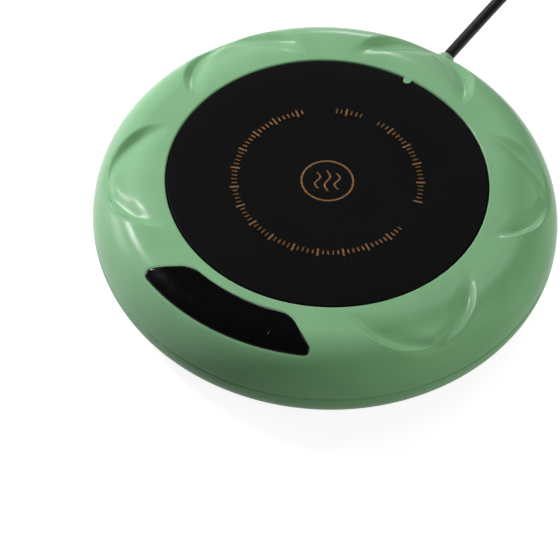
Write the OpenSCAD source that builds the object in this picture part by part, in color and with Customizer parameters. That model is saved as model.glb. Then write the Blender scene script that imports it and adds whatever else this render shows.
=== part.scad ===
// Electric mug warmer: a round ring-shaped housing with five scoops and a touch
// panel, and a sprung heating plate that sinks a little when a cup stands on it.
// Millimetres. Z = 0 is the table, the axis of the disc is Z, the touch panel
// faces -Y and the supply cord leaves towards +Y.

/* [Body] */
// Diameter of the body at its widest
body_d = 138; // [136:1:144]
// Height from the underside of the base to the crest of the ring
body_h = 29.25; // [28.5:0.25:31]
// Height of the parting line above the underside of the base
belly_h = 12.6; // [12:0.1:13.4]
// Horizontal distance from the crest of the ring to its widest point
rim_half_w = 12.35; // [12:0.05:12.8]
// Wall thickness of both shells
wall_t = 2.2; // [1.9:0.1:2.4]
// How far the rubber feet stand below the base
foot_proud = 1.75; // [1.25:0.25:2.5]

/* [Scoops] */
// Plan radius of each scoop's outer edge
scoop_r = 19.6; // [18:0.2:20.4]
// Plain rim left outside the middle of a scoop, in plan
scoop_rim = 2.6; // [2.2:0.1:4]
// Level land between the disc opening and the start of a scoop
scoop_land = 2.7; // [2:0.1:4]
// Outward fall of a scoop's floor, in degrees
scoop_fall = 31; // [26:1:34]
// Distance over which the level land rolls into the falling floor
scoop_roll = 7; // [5:0.5:9]
// Width of the short wall at a scoop's outer edge
scoop_wall_w = 1.8; // [1.2:0.1:2.4]

/* [Heating plate] */
// Distance from the disc's edge to the body's widest point
ring_w = 21.6; // [21:0.1:22.4]
// Thickness of the heating disc
disc_t = 3; // [2.4:0.1:3.4]
// How far the disc's top lies below the crest of the ring
disc_drop = 0.2; // [0:0.1:0.6]
// Gap round the disc in its opening
disc_gap = 0.4; // [0.3:0.05:0.6]
// Travel of the floating plate under a cup
plate_travel = 1; // [0.7:0.1:1.1]
// Width of the key on the ring that stops the disc from turning
key_w = 2.6; // [2:0.1:3.4]
// How far the key reaches in over the disc
key_reach = 2.1; // [1.6:0.1:2.6]
// Thickness of the aluminium heat spreader
spreader_t = 1; // [0.8:0.1:1.2]
// Thickness of the heating film
film_t = 0.6; // [0.4:0.1:0.8]
// Thickness of the insulation pad
pad_t = 1.5; // [1.2:0.1:1.8]
// Thickness of the steel backing plate
backing_t = 0.8; // [0.6:0.1:1]

/* [Touch panel] */
// Ring left outside the panel, in plan
panel_rim = 5.25; // [4.75:0.25:6]
// Ring left between the disc's opening and the middle of the panel
panel_land = 3.45; // [3.2:0.05:4.7]
// Half of the angle that the panel spans, in degrees
panel_half = 25.4; // [23:0.2:26]
// Power of the curve that rounds the panel's inner corners
panel_power = 6.4; // [4:0.2:8]
// Thickness of the black panel lens
lens_t = 1.2; // [0.9:0.05:1.3]
// Thickness of the adhesive tape under the lens
tape_t = 0.15; // [0.1:0.05:0.2]
// Width of the ledge that the lens is stuck to
ledge_w = 1.6; // [1.2:0.1:2]

/* [Springs and switch] */
// Distance from the disc's edge to the middle of a plate spring
spring_inset = 13.4; // [12.9:0.1:15.4]
// Outer diameter of a plate spring
spring_d = 6.6; // [6:0.1:7]
// Wire diameter of a plate spring
spring_wire = 0.6; // [0.5:0.05:0.7]
// Height of the spring seats above the base floor
spring_seat_h = 8; // [6:0.5:9]
// Length of the micro-switch
switch_l = 12.8; // [12.6:0.1:13.2]
// Width of the micro-switch
switch_w = 5.8; // [5.4:0.1:6.2]
// Height of the micro-switch
switch_h = 6.5; // [6.2:0.1:6.8]
// Distance from the lever's pin to the press pin
lever_arm = 12; // [11.6:0.1:12.4]
// Angle of the switch lever at rest, in degrees
lever_rest = 6; // [5.6:0.1:7]

/* [Boards] */
// Length of the main board
board_l = 44; // [42:0.5:46]
// Depth of the main board
board_w = 29; // [28:0.5:31]
// Thickness of both boards
board_t = 1.6; // [1.2:0.1:1.8]
// Height of the main board's posts above the base floor
board_post_h = 3; // [2.5:0.25:4]
// Length of the display board
display_l = 44; // [43:0.5:46]
// Depth of the display board
display_w = 8.2; // [7.8:0.1:8.6]

/* [Fixings] */
// Distance from the body's widest point to the base screws
screw_inset = 11.5; // [11:0.1:12]
// Shank diameter of the base screws
screw_d = 2.6; // [2.4:0.1:2.8]
// Length of the base screws under the head
screw_l = 15; // [13:0.5:17]
// Shank diameter of the small screws
small_screw_d = 2; // [1.8:0.1:2.2]
// Diameter of the rubber feet
foot_d = 10; // [8:0.5:11]
// Distance from the body's widest point to the middle of a foot
foot_inset = 25; // [23:0.5:27]

/* [Cord] */
// Diameter of the supply cord
cord_d = 3.5; // [3.2:0.1:3.8]
// Height of the cord's exit above the underside of the base
cord_h = 14.9; // [14.6:0.1:15.4]
// How far the collar stands out of the body
collar_out = 4.9; // [4:0.1:6]

/* [Hidden] */
$fn = 64;

// Colours
green = [0.50, 0.69, 0.53];
black = [0.07, 0.07, 0.08];
board_green = [0.07, 0.32, 0.20];
steel = [0.72, 0.73, 0.75];
copper = [0.80, 0.52, 0.30];
white = [0.92, 0.92, 0.90];

// Levels and radii of the body
body_r = body_d / 2;
base_z = foot_proud;
floor_z = base_z + wall_t;
part_z = base_z + belly_h;
crest_z = base_z + body_h;
crest_r = body_r - rim_half_w;
upper_h = crest_z - part_z;
ceiling_z = crest_z - wall_t;
fit = 0.1;
seam = 0.25;
slack = 0.3;
sink = 0.5;

// Disc, its opening and its key
disc_r = body_r - ring_w;
opening_r = disc_r + disc_gap;
opening_edge = 0.4;
disc_top_z = crest_z - disc_drop;
disc_bot_z = disc_top_z - disc_t;
key_in_r = opening_r - key_reach;
panel_out_r = body_r - panel_rim;
panel_in_r = opening_r + panel_land;

// Stack under the disc
spring_ring_r = disc_r - spring_inset;
flange_w = 3.3;
flange_r = opening_r + flange_w;
flange_top = ceiling_z - slack;
flange_t = 1.6;
seat_w = 3;
ring_in = disc_r - seat_w;
spreader_bot = disc_bot_z - spreader_t;
film_bot = spreader_bot - film_t;
pad_bot = film_bot - pad_t;
backing_bot = pad_bot - backing_t;
film_r = ring_in - 6.4;
lug_ring_r = ring_in - 2.2;
lug_r = 2.8;
backing_r = disc_r - 1.4;
small_r = small_screw_d / 2;
small_head_r = small_r + 0.9;
small_head_h = 1.1;

// Scoops: five at a pitch of 60 degrees, the sixth place holds the touch panel
pitch = 60;
scoop_centre_r = body_r - scoop_rim - scoop_r;
scoop_start_r = opening_r + scoop_land;

// Height of the plain ring over a plan radius
function ring_z(r) = r <= crest_r ? crest_z
    : part_z + upper_h * sqrt(max(0, 1 - pow((r - crest_r) / rim_half_w, 2)));

// Fall of a scoop's floor below the crest on its centre line
function floor_fall(r) = let (s = max(0, r - scoop_start_r))
    tan(scoop_fall) * (s < scoop_roll ? s * s / (2 * scoop_roll) : s - scoop_roll / 2);

// Depth of a scoop below the plain ring, u along the radius and v across it
function scoop_cut(r, u, v) = let (
        edge = scoop_r - norm([u, v]),
        side = sqrt(max(0, 1 - pow(v / scoop_r, 2))),
        wall = edge >= scoop_wall_w ? 1 : sqrt(max(0, 1 - pow(1 - edge / scoop_wall_w, 2))))
    edge <= 0 ? 0 : wall * max(0, ring_z(r) - crest_z + floor_fall(r) * side);

// Depth at a radius and an angle; a is the angle from the middle of its sector
function scoop_depth(r, a, is_panel) = is_panel ? 0
    : scoop_cut(r, r * cos(a) - scoop_centre_r, r * sin(a));

// Angles of one sector, closer together where the ends of a scoop lie
half_angles = [3, 6.5, 10, 13, 16, 18, 19.5, 21, 23, 26];
sector_angles = concat([-pitch / 2], [for (i = [9:-1:0]) -half_angles[i]], [0], half_angles);
ring_angles = [for (k = [0:5]) for (a = sector_angles) [k * pitch - 90 + a, a, k == 0]];

// Rows of the ring's outer face, as a radius each
outer_turns = [9, 17, 24, 31, 38, 44, 50, 56, 63, 71, 80];
outer_radii = concat(
    [for (i = [0:2]) opening_r + opening_edge + (crest_r - opening_r - opening_edge) * i / 3],
    [crest_r],
    [for (t = outer_turns) crest_r + rim_half_w * sin(t)]);

// Points on the outer face and on a plain ring
function outer_point(i, a) = let (r = outer_radii[i], z = ring_z(r) - scoop_depth(r, a[1], a[2]))
    [r * cos(a[0]), r * sin(a[0]), z];
function ring_point(r, z, a) = [r * cos(a[0]), r * sin(a[0]), z];

// Rows of the inner face, from the parting line up to the ceiling
inner_turns = [90, 72, 56, 42, 28, 14, 0];
inner_w = rim_half_w - wall_t;
inner_h = upper_h - wall_t;
function inner_point(t, a) = let (r = crest_r + inner_w * sin(t),
        z = part_z + inner_h * cos(t) - scoop_depth(r + wall_t / 4, a[1], a[2]) * cos(t))
    ring_point(r, z, a);

// Closed skin from rings of points, every ring with the same number of points
module skin(rings) {
    count = len(rings[0]);
    rows = len(rings);
    points = [for (ring = rings) for (p = ring) p];
    faces = [for (j = [0:rows - 1]) for (i = [0:count - 1])
        let (a = j * count + i, b = j * count + (i + 1) % count,
            c = ((j + 1) % rows) * count + (i + 1) % count, d = ((j + 1) % rows) * count + i)
        each [[a, b, c], [a, c, d]]];
    polyhedron(points = points, faces = faces, convexity = 8);
}

// Capped tube along a list of points; no stretch of it runs along the guide
function unit(v) = v / norm(v);
function tangent(p, i) = unit(p[min(i + 1, len(p) - 1)] - p[max(i - 1, 0)]);
module tube(path, r, sides = 8, guide = [1, 0, 0]) {
    points = [for (i = [0:len(path) - 1])
        let (t = tangent(path, i), s = unit(cross(t, guide)), n = cross(s, t))
        for (k = [0:sides - 1]) path[i] + r * (cos(k * 360 / sides) * s + sin(k * 360 / sides) * n)];
    last = (len(path) - 1) * sides;
    faces = concat(
        [[for (k = [sides - 1:-1:0]) k]],
        [[for (k = [0:sides - 1]) last + k]],
        [for (j = [0:len(path) - 2]) for (k = [0:sides - 1])
            let (a = j * sides + k, b = j * sides + (k + 1) % sides)
            each [[a, b + sides, a + sides], [a, b, b + sides]]]);
    polyhedron(points = points, faces = faces, convexity = 10);
}

// Round bar from one point up to another level
module bar(r, z0, z1) translate([0, 0, z0]) cylinder(r = r, h = z1 - z0);

// Copies at equal steps round the axis
module around(angles, r) for (a = angles) rotate([0, 0, a]) translate([r, 0, 0]) children();

// Pan-head screw, head seat at Z = 0, shank towards +Z
module screw(r, head_r, head_h, length) {
    cylinder(r = r, h = length);
    difference() {
        translate([0, 0, -head_h]) cylinder(r = head_r, h = head_h);
        translate([0, 0, -head_h]) for (a = [0, 90]) rotate([0, 0, a])
            cube([head_r * 1.3, head_h * 0.3, head_h], center = true);
    }
}

// Helical spring standing on Z = 0
module coil_spring(r, wire_r, height, turns, steps = 10) {
    tube([for (i = [0:turns * steps])
        [r * cos(i * 360 / steps), r * sin(i * 360 / steps),
            wire_r + (height - 2 * wire_r) * i / (turns * steps)]], wire_r, 6, [0, 0, 1]);
}

// ---- Shells ----

screw_angles = [60, 120, 240, 300];
screw_ring_r = body_r - screw_inset;
joint_z = part_z + 1.65;
boss_r = 3.2;
// A small turn keeps the bosses' facets off the edges of the inner skin
boss_turn = 1.7;
base_boss_r = 4;
screw_r = screw_d / 2;
screw_head_r = 2.4;
screw_head_h = 1.6;
screw_seat_z = joint_z - 9;
collar_z = base_z + cord_h;
collar_r = 4.4;
neck_r = 3.2;
collar_flange_r = 4;
wall_out_y = crest_r + rim_half_w * sqrt(1 - pow((collar_z - part_z) / upper_h, 2));
spot_y = wall_out_y - 1.1;
neck_in_y = crest_r + inner_w * sqrt(1 - pow((collar_z + collar_flange_r - part_z) / inner_h, 2))
    - 2 * slack;
collar_flange_t = 1.5;

// Outline of the touch panel, grown or shrunk by a margin
function panel_inner_r(f, m) = panel_in_r - m
    + (panel_out_r - panel_in_r + 2 * m) * pow(abs(f) / (panel_half + m * 0.95), panel_power);
module panel_shape(m) {
    tip = panel_half + m * 0.95 - 0.25;
    inner_arc = [for (i = [-16:16]) let (s = i / 16, f = tip * sign(s) * (1 - pow(1 - abs(s), 1.6)))
        [panel_inner_r(f, m), f]];
    outer_arc = [for (i = [12:-1:-12]) [panel_out_r + m, (tip - 0.45) * i / 12]];
    polygon([for (p = concat(inner_arc, outer_arc)) [p[0] * sin(p[1]), -p[0] * cos(p[1])]]);
}

// Slab that follows the plain ring over the touch panel, between two depths
module panel_slab(top, bottom, m) {
    radii = concat([panel_in_r - 3, panel_in_r + 1.5], [for (r = outer_radii) if (r >= crest_r
        && r < panel_out_r + 2.6) r]);
    angles = [for (i = [-8:8]) i * (panel_half + 3) / 8];
    count = len(radii);
    upper = [for (f = angles) for (r = radii) [r * sin(f), -r * cos(f), ring_z(r) - top]];
    lower = [for (f = angles) for (r = radii) [r * sin(f), -r * cos(f), ring_z(r) - bottom]];
    span = len(angles);
    half = span * count;
    grid = [for (j = [0:span - 2]) for (i = [0:count - 2])
        let (a = j * count + i) [a, a + 1, a + count + 1, a + count]];
    rim = concat([for (i = [0:count - 1]) i], [for (j = [1:span - 1]) j * count + count - 1],
        [for (i = [count - 2:-1:0]) (span - 1) * count + i], [for (j = [span - 2:-1:1]) j * count]);
    intersection() {
        polyhedron(points = concat(upper, lower), faces = concat(
            [for (q = grid) each [[q[0], q[2], q[1]], [q[0], q[3], q[2]]]],
            [for (q = grid) each [[q[0] + half, q[1] + half, q[2] + half],
                [q[0] + half, q[2] + half, q[3] + half]]],
            [for (i = [0:len(rim) - 1]) let (a = rim[i], b = rim[(i + 1) % len(rim)])
                each [[a, b, b + half], [a, b + half, a + half]]]), convexity = 6);
        translate([0, 0, part_z]) linear_extrude(upper_h + 5) panel_shape(m);
    }
}

// Plan of the key, grown by a margin, with a stretch added at its outer end
module key_shape(m, more) translate([0, key_in_r + key_w / 2]) {
    circle(r = key_w / 2 + m);
    translate([-key_w / 2 - m, 0]) square([key_w + 2 * m, key_reach - key_w / 2 + more]);
}

module upper_shell() color(green) difference() {
    union() {
        skin(concat(
            [[for (a = ring_angles) ring_point(opening_r, ceiling_z, a)],
                [for (a = ring_angles) ring_point(opening_r, crest_z - opening_edge, a)]],
            [for (i = [0:len(outer_radii) - 1]) [for (a = ring_angles) outer_point(i, a)]],
            [[for (a = ring_angles) ring_point(body_r, part_z + seam, a)],
                [for (a = ring_angles) ring_point(body_r - seam, part_z, a)]],
            [for (t = inner_turns) [for (a = ring_angles) inner_point(t, a)]],
            [[for (a = ring_angles) ring_point(flange_r + slack, ceiling_z, a)]]));
        around(screw_angles, screw_ring_r) rotate(boss_turn) bar(boss_r, joint_z, ceiling_z + wall_t / 2);
        // Key that the notch in the disc slides along
        translate([0, 0, ceiling_z + slack]) intersection() {
            linear_extrude(disc_top_z - ceiling_z - slack) key_shape(0, sink + 1);
            bar(opening_r + sink, -crest_z, crest_z);
        }
    }
    panel_slab(-1, lens_t + tape_t, 0);
    translate([0, 0, part_z]) linear_extrude(upper_h + 5) panel_shape(-ledge_w);
    around(screw_angles, screw_ring_r) bar(screw_r + fit / 2, joint_z - 1, screw_seat_z + screw_l + 1);
    collar_hole();
}

// Hole and spot face for the cord collar
module collar_hole() translate([0, 0, collar_z]) rotate([-90, 0, 0]) {
    bar(neck_r + fit / 2, neck_in_y - 5, body_r + 5);
    bar(collar_r + fit / 2, spot_y, body_r + 5);
}

tongue_t = 1.35;
tongue_out = body_r - wall_t - 0.4;
tongue_in = tongue_out - tongue_t;
tongue_h = 2;
stop_z = backing_bot - plate_travel - 0.05;
spring_angles = [270, 30, 150];
spring_well_r = spring_d / 2 + 0.6;
spring_post_r = spring_well_r + 1.6;
spring_seat_z = floor_z + spring_seat_h;
foot_angles = [45, 135, 225, 315];
foot_ring_r = body_r - foot_inset;
foot_well = 1;
board_z = floor_z + board_post_h;
board_y = 24.5;
board_post_r = 2.6;
board_holes = [for (x = [-1, 1]) for (y = [-1, 1])
    [x * (board_l / 2 - 3.5), board_y + y * (board_w / 2 - 3.5)]];
display_z = crest_z - 9.6;
display_y = -(opening_r + 8.1);
display_holes = [for (x = [-1, 1]) [x * (display_l / 2 - 2.6), display_y + 0.3]];
post_hole_r = small_r + fit / 2;
vent_w = 2;
vent_l = 14;

module base_cover() color(green) difference() {
    union() {
        rotate_extrude() polygon(concat(
            [[0, base_z]],
            [for (i = [0:11]) [crest_r + rim_half_w * sin(i * 7.5), part_z - belly_h * cos(i * 7.5)]],
            [[body_r, part_z - seam], [body_r - seam, part_z], [tongue_out, part_z],
                [tongue_out, part_z + tongue_h], [tongue_in, part_z + tongue_h]],
            base_inside(),
            [[0, floor_z]]));
        around(screw_angles, screw_ring_r) bar(base_boss_r, base_z + sink, joint_z);
        around(spring_angles, spring_ring_r) bar(spring_post_r, floor_z - sink, stop_z);
        for (p = board_holes) translate(p) bar(board_post_r, floor_z - sink, board_z);
        for (p = display_holes) translate(p) bar(board_post_r, floor_z - sink, display_z);
        switch_bracket();
        cord_cradle();
    }
    around(screw_angles, screw_ring_r) {
        bar(screw_r + 0.25, base_z - 1, joint_z + 1);
        bar(screw_head_r + 0.35, base_z - 1, screw_seat_z);
    }
    around(foot_angles, foot_ring_r) bar(foot_d / 2 + fit, base_z - 1, base_z + foot_well);
    around(spring_angles, spring_ring_r) bar(spring_well_r, spring_seat_z, stop_z + 1);
    for (p = board_holes) translate(p) bar(post_hole_r, floor_z, board_z + 1);
    for (p = display_holes) translate(p) bar(post_hole_r, display_z - 6, display_z + 1);
    for (s = [-1, 1]) for (i = [-1.5:1.5]) translate([s * 24 + i * 5, -12, floor_z])
        cube([vent_w, vent_l, 4 * wall_t], center = true);
    // Room for the collar's inner flange
    translate([0, 0, collar_z]) rotate([-90, 0, 0])
        bar(collar_flange_r + slack, neck_in_y - collar_flange_t - 4, neck_in_y + slack);
    collar_hole();
}

// Inner face of the base wall, from under the tongue down to the floor
function base_inside() = let (w = rim_half_w - wall_t, h = belly_h - wall_t,
        top = asin((tongue_in - crest_r) / w))
    [for (i = [0:7]) let (t = top * (7 - i) / 7) [crest_r + w * sin(t), part_z - h * cos(t)]];

module foot_pads() color(black) around(foot_angles, foot_ring_r) rotate_extrude()
    polygon([[0, 0], [foot_d / 2 - 0.6, 0], [foot_d / 2, 0.6], [foot_d / 2, base_z + foot_well],
        [0, base_z + foot_well]]);

module base_screws() color(steel) around(screw_angles, screw_ring_r)
    translate([0, 0, screw_seat_z]) screw(screw_r, screw_head_r, screw_head_h, screw_l);

// ---- Touch panel ----

module panel_lens() color(black) panel_slab(0, lens_t, -fit);

module panel_tape() color(white) difference() {
    panel_slab(lens_t, lens_t + tape_t, -fit);
    translate([0, 0, part_z]) linear_extrude(upper_h + 5) panel_shape(-ledge_w);
}

module display_board() color(board_green) difference() {
    translate([-display_l / 2, display_y - display_w / 2, display_z])
        cube([display_l, display_w, board_t]);
    for (p = display_holes) translate(p) bar(post_hole_r, display_z - 1, display_z + board_t + 1);
}

module display_screws() color(steel) for (p = display_holes)
    translate([p[0], p[1], display_z + board_t]) rotate([180, 0, 0])
        screw(small_r, small_head_r, small_head_h, board_t + 4.6);

digit_x = -7.5;
digit_l = 15;
digit_w = 6.8;
digit_top = crest_z - 2.6;
digit_wall = 0.6;

// Two-digit display: a case with the seven bars of each digit let into its face
module digit_module() {
    board_top = display_z + board_t;
    color(white) difference() {
        translate([digit_x - digit_l / 2, display_y - digit_w / 2, board_top])
            cube([digit_l, digit_w, digit_top - board_top]);
        for (s = [-1, 1]) translate([digit_x + s * 3.4, display_y, digit_top]) digit_bars();
    }
}

module digit_bars(w = 2.6, h = 4.8, bar_w = 0.5) {
    for (y = [-h / 2, 0, h / 2]) translate([0, y, 0])
        cube([w - bar_w * 1.6, bar_w, digit_wall], center = true);
    for (x = [-w / 2, w / 2]) for (y = [-h / 4, h / 4]) translate([x, y, 0])
        cube([bar_w, h / 2 - bar_w * 1.6, digit_wall], center = true);
}

touch_at = [14.7, display_y + 0.3];
touch_r = 2.6;
touch_wire_r = 0.3;

module touch_spring() color(steel) translate([touch_at[0], touch_at[1], display_z + board_t])
    coil_spring(touch_r, touch_wire_r, ring_z(norm(touch_at) + touch_r + touch_wire_r) - lens_t
        - display_z - board_t - slack / 2, 5);

// ---- Boards ----

board_top = board_z + board_t;
ribbon_w = 7;
ribbon_t = 0.3;
ribbon_x = -12;
socket_h = 2.6;
socket_d = 3.4;
board_front = board_y - board_w / 2;

module main_board() color(board_green) difference() {
    translate([-board_l / 2, board_front, board_z]) cube([board_l, board_w, board_t]);
    for (p = board_holes) translate(p) bar(post_hole_r, board_z - 1, board_top + 1);
}

module board_screws() color(steel) for (p = board_holes)
    translate([p[0], p[1], board_top]) rotate([180, 0, 0])
        screw(small_r, small_head_r, small_head_h, board_t + board_post_h - 0.4);

// Chip with sixteen legs
module driver_chip() translate([-9, board_y + 1, board_top]) {
    color(black) translate([-2, -5, 0.3]) cube([4, 10, 1.5]);
    color(steel) for (s = [-1, 1]) for (i = [-3.5:3.5]) translate([s * 2, i * 1.27, 0]) {
        translate([s > 0 ? 0 : -0.5, -0.2, 0]) cube([0.5, 0.4, 1]);
        translate([s > 0 ? 0.5 : -1.1, -0.2, 0]) cube([0.6, 0.4, 0.2]);
    }
}

module power_transistor() translate([2, board_y + 4, board_top]) {
    color(steel) translate([-3.2, 0, 0]) cube([6.4, 7, 0.5]);
    color(black) translate([-3.2, 0, 0.5]) cube([6.4, 6, 1.8]);
    color(steel) for (s = [-1, 1]) translate([s * 2.3 - 0.4, -2.6, 0]) cube([0.8, 2.6, 0.6]);
}

capacitor_r = 2.5;
capacitor_h = 6;
module capacitors() for (x = [10, 16.5]) translate([x, board_y + 5, board_top]) {
    color(black) translate([-capacitor_r, -capacitor_r, 0])
        cube([2 * capacitor_r, 2 * capacitor_r, 0.8]);
    color(steel) bar(capacitor_r, 0.8, capacitor_h);
}

buzzer_r = 4.5;
module buzzer() color(black) translate([13, board_y - 6.5, board_top]) difference() {
    bar(buzzer_r, 0, 4);
    bar(0.8, 1.5, 5);
}

// Open-topped socket with pins, its wires come in from the front
module socket(pins) {
    l = pins * 1.5 + 2;
    color(white) difference() {
        translate([-l / 2, 0, 0]) cube([l, socket_d, socket_h]);
        translate([-l / 2 + 0.5, 0.5, 0.6]) cube([l - 1, socket_d - 1, socket_h]);
    }
    color(copper) for (i = [0:pins - 1]) translate([(i - (pins - 1) / 2) * 1.5, socket_d / 2, 0.6])
        bar(0.25, 0, socket_h - 1.2);
}

heater_socket_x = 0;
supply_socket_x = -4;
switch_socket_x = 5.5;
module wire_sockets() {
    translate([heater_socket_x, board_front + 4.6, board_top]) socket(4);
    translate([supply_socket_x, board_y + board_w / 2 - socket_d - 1, board_top]) socket(2);
    translate([switch_socket_x + 0.5, board_front + 0.4, board_top]) socket(2);
}

module ribbon_sockets() color(white) {
    translate([ribbon_x - ribbon_w / 2 - 1, board_front + 0.8, board_top])
        socket_bar();
    translate([ribbon_x - ribbon_w / 2 - 1, display_y - 1.4, display_z - socket_h])
        socket_bar();
}

// Low bar with a slot that holds the end of the ribbon
module socket_bar() difference() {
    cube([ribbon_w + 2, 3, socket_h]);
    translate([0.9, -1, socket_h / 2 - ribbon_t / 2 - 0.05])
        cube([ribbon_w + 0.2, 2.6, ribbon_t + 0.1]);
}

// Flat cable from the display board down to the floor and on to the main board
module ribbon_cable() color(white) {
    low = floor_z + 0.6;
    high = display_z - socket_h / 2;
    end_z = board_top + socket_h / 2;
    down_y = display_y - 1.4 + 4.6;
    up_y = board_front - 2.4;
    slot = 1.4;
    strip = [[display_y - 1.4 + slot - 1.2, high], [display_y - 3.2, high], [display_y - 3.2, high
        - 3], [down_y - 1, display_z - 9], [down_y, low + 2], [down_y + 2, low], [up_y - 1, low],
        [up_y, low + 1], [up_y, end_z - 0.8], [up_y + 0.9, end_z], [board_front + 0.8 + slot, end_z]];
    for (i = [0:len(strip) - 2]) ribbon_piece(strip[i], strip[i + 1]);
}

module ribbon_piece(a, b) translate([ribbon_x - ribbon_w / 2, 0, 0]) rotate([90, 0, 90])
    linear_extrude(ribbon_w) let (n = unit([a[1] - b[1], b[0] - a[0]]) * ribbon_t / 2, e = unit(b - a)
        * ribbon_t / 4) polygon([a + n - e, b + n + e, b - n + e, a - n - e]);

// ---- Micro-switch under the plate ----

switch_at = [-2, -14];
switch_z = floor_z + 5.2;
switch_top = switch_z + switch_h;
hinge_x = switch_at[0] - switch_l / 2 + 1;
hinge_z = switch_top + 0.7;
lever_t = 0.3;
lever_w = 3.2;
lever_over = 2;
pin_r = 0.4;
barrel_r = 0.75;
ear_r = 0.65;
plunger_x = hinge_x + 4.5;
plunger_l = 1.2;
plunger_w = 2.4;
bracket_t = 2.4;
bracket_y = switch_at[1] + switch_w / 2;
switch_hole_x = 3.25;
switch_hole_z = switch_z + 2;
mesh_gap = 0.05;
press_r = 2;
press_x = hinge_x + lever_arm;
lever_side = lever_t / 2 + mesh_gap + press_r;
press_z = hinge_z + lever_arm * tan(lever_rest) + lever_side / cos(lever_rest);
plunger_top = hinge_z + (plunger_x - plunger_l / 2 - hinge_x) * tan(lever_rest)
    - lever_t / 2 / cos(lever_rest) - mesh_gap;

module switch_bracket() difference() {
    translate([switch_at[0] - switch_l / 2, bracket_y, floor_z - sink])
        cube([switch_l, bracket_t, switch_z + switch_h - 1 - floor_z + sink]);
    for (s = [-1, 1]) translate([switch_at[0] + s * switch_hole_x, bracket_y - 1, switch_hole_z])
        rotate([-90, 0, 0]) bar(post_hole_r, 0, bracket_t + 2);
    // Doorway for the switch's wires
    translate([switch_at[0] - switch_l / 2 + 2, bracket_y - 1, floor_z])
        cube([switch_l - 4, bracket_t + 2, 3]);
}

module switch_case() color(black) difference() {
    union() {
        translate([switch_at[0] - switch_l / 2, bracket_y - switch_w, switch_z])
            cube([switch_l, switch_w, switch_h]);
        for (y = [-switch_w / 2, switch_w / 2 - 0.8]) translate([hinge_x, switch_at[1] + y, 0]) {
            translate([-ear_r, 0, switch_top - sink]) cube([2 * ear_r, 0.8, hinge_z - switch_top + sink]);
            translate([0, 0, hinge_z]) rotate([-90, 0, 0]) bar(ear_r, 0, 0.8);
        }
    }
    translate([hinge_x, switch_at[1] - switch_w, hinge_z]) rotate([-90, 0, 0]) bar(pin_r, 0, 2 * switch_w);
    translate([plunger_x - plunger_l / 2 - mesh_gap, switch_at[1] - plunger_w / 2 - mesh_gap,
        plunger_top - 3.4]) cube([plunger_l + 2 * mesh_gap, plunger_w + 2 * mesh_gap, 5]);
    for (s = [-1, 1]) translate([switch_at[0] + s * switch_hole_x, bracket_y - switch_w - 1,
        switch_hole_z]) rotate([-90, 0, 0]) bar(post_hole_r, 0, switch_w + 2);
    // Trough under the lever's barrel
    translate([hinge_x, switch_at[1], hinge_z]) rotate([90, 0, 0])
        cylinder(r = barrel_r + fit, h = lever_w + 2 * fit, center = true);
}

module switch_terminals() color(copper) for (i = [-1:1])
    translate([switch_at[0] + i * 4.8 - 0.25, switch_at[1] - 1, switch_z - 3.2]) cube([0.5, 2, 3.2]);

module switch_screws() color(steel) for (s = [-1, 1])
    translate([switch_at[0] + s * switch_hole_x, bracket_y - switch_w, switch_hole_z])
        rotate([-90, 0, 0]) screw(small_r, small_head_r, small_head_h, switch_w + bracket_t);

module lever_pin() color(steel) translate([hinge_x, switch_at[1] - switch_w / 2, hinge_z])
    rotate([-90, 0, 0]) bar(pin_r, 0, switch_w);

module switch_lever() color(steel) translate([hinge_x, switch_at[1], hinge_z])
    rotate([0, -lever_rest, 0]) difference() {
        union() {
            rotate([90, 0, 0]) cylinder(r = barrel_r, h = lever_w, center = true);
            translate([0, -lever_w / 2, -lever_t / 2]) cube([lever_arm + lever_over, lever_w, lever_t]);
        }
        rotate([90, 0, 0]) cylinder(r = pin_r + mesh_gap, h = 2 * lever_w, center = true);
    }

module switch_plunger() color("firebrick")
    translate([plunger_x - plunger_l / 2, switch_at[1] - plunger_w / 2, plunger_top - 2.8])
        cube([plunger_l, plunger_w, 2.8]);

// Two wires through the bracket's doorway and up to their socket
module switch_wires() color("gray") {
    low = floor_z + 0.7;
    over = board_top + socket_h + 0.9;
    pin_y = board_front + 0.4 + socket_d / 2;
    for (i = [-1, 1]) {
        x = switch_at[0] + i * 4.8;
        pin_x = switch_socket_x + 0.5 + i * 0.75;
        tube([[x, switch_at[1], switch_z - 2.9], [x - i * 0.5, switch_at[1], low + 0.8],
            [x - i * 1.8, switch_at[1] + 1.6, low], [x - i * 2.8, bracket_y + bracket_t + 1, low],
            [pin_x, board_front - 5, low + 2], [pin_x, board_front - 1.6, over - 1.5],
            [pin_x, board_front + 0.2, over], [pin_x, pin_y, over - 0.8],
            [pin_x, pin_y, board_top + 1.6]], 0.45, 6);
    }
}

// ---- Floating plate ----

module return_springs() color(steel) around(spring_angles, spring_ring_r)
    translate([0, 0, spring_seat_z])
        coil_spring((spring_d - spring_wire) / 2, spring_wire / 2, backing_bot - spring_seat_z, 5);

module heating_disc() color(black) difference() {
    bar(disc_r, disc_bot_z, disc_top_z);
    translate([0, 0, disc_bot_z - 1]) linear_extrude(disc_t + 2) key_shape(slack, 1);
}

module plate_carrier() color(black) difference() {
    union() {
        rotate_extrude() polygon([[ring_in, pad_bot], [disc_r + fit, pad_bot],
            [disc_r + fit, flange_top - flange_t], [flange_r, flange_top - flange_t],
            [flange_r, flange_top], [disc_r + fit, flange_top], [disc_r + fit, disc_bot_z],
            [ring_in, disc_bot_z]]);
        around([90, 210, 330], lug_ring_r) bar(lug_r, pad_bot, spreader_bot - fit);
    }
    around([90, 210, 330], lug_ring_r) bar(post_hole_r, pad_bot - 1, disc_bot_z);
}

module heat_spreader() color(steel) bar(ring_in - slack, spreader_bot, disc_bot_z);

module heating_film() color("darkorange") bar(film_r, film_bot, spreader_bot);

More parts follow.
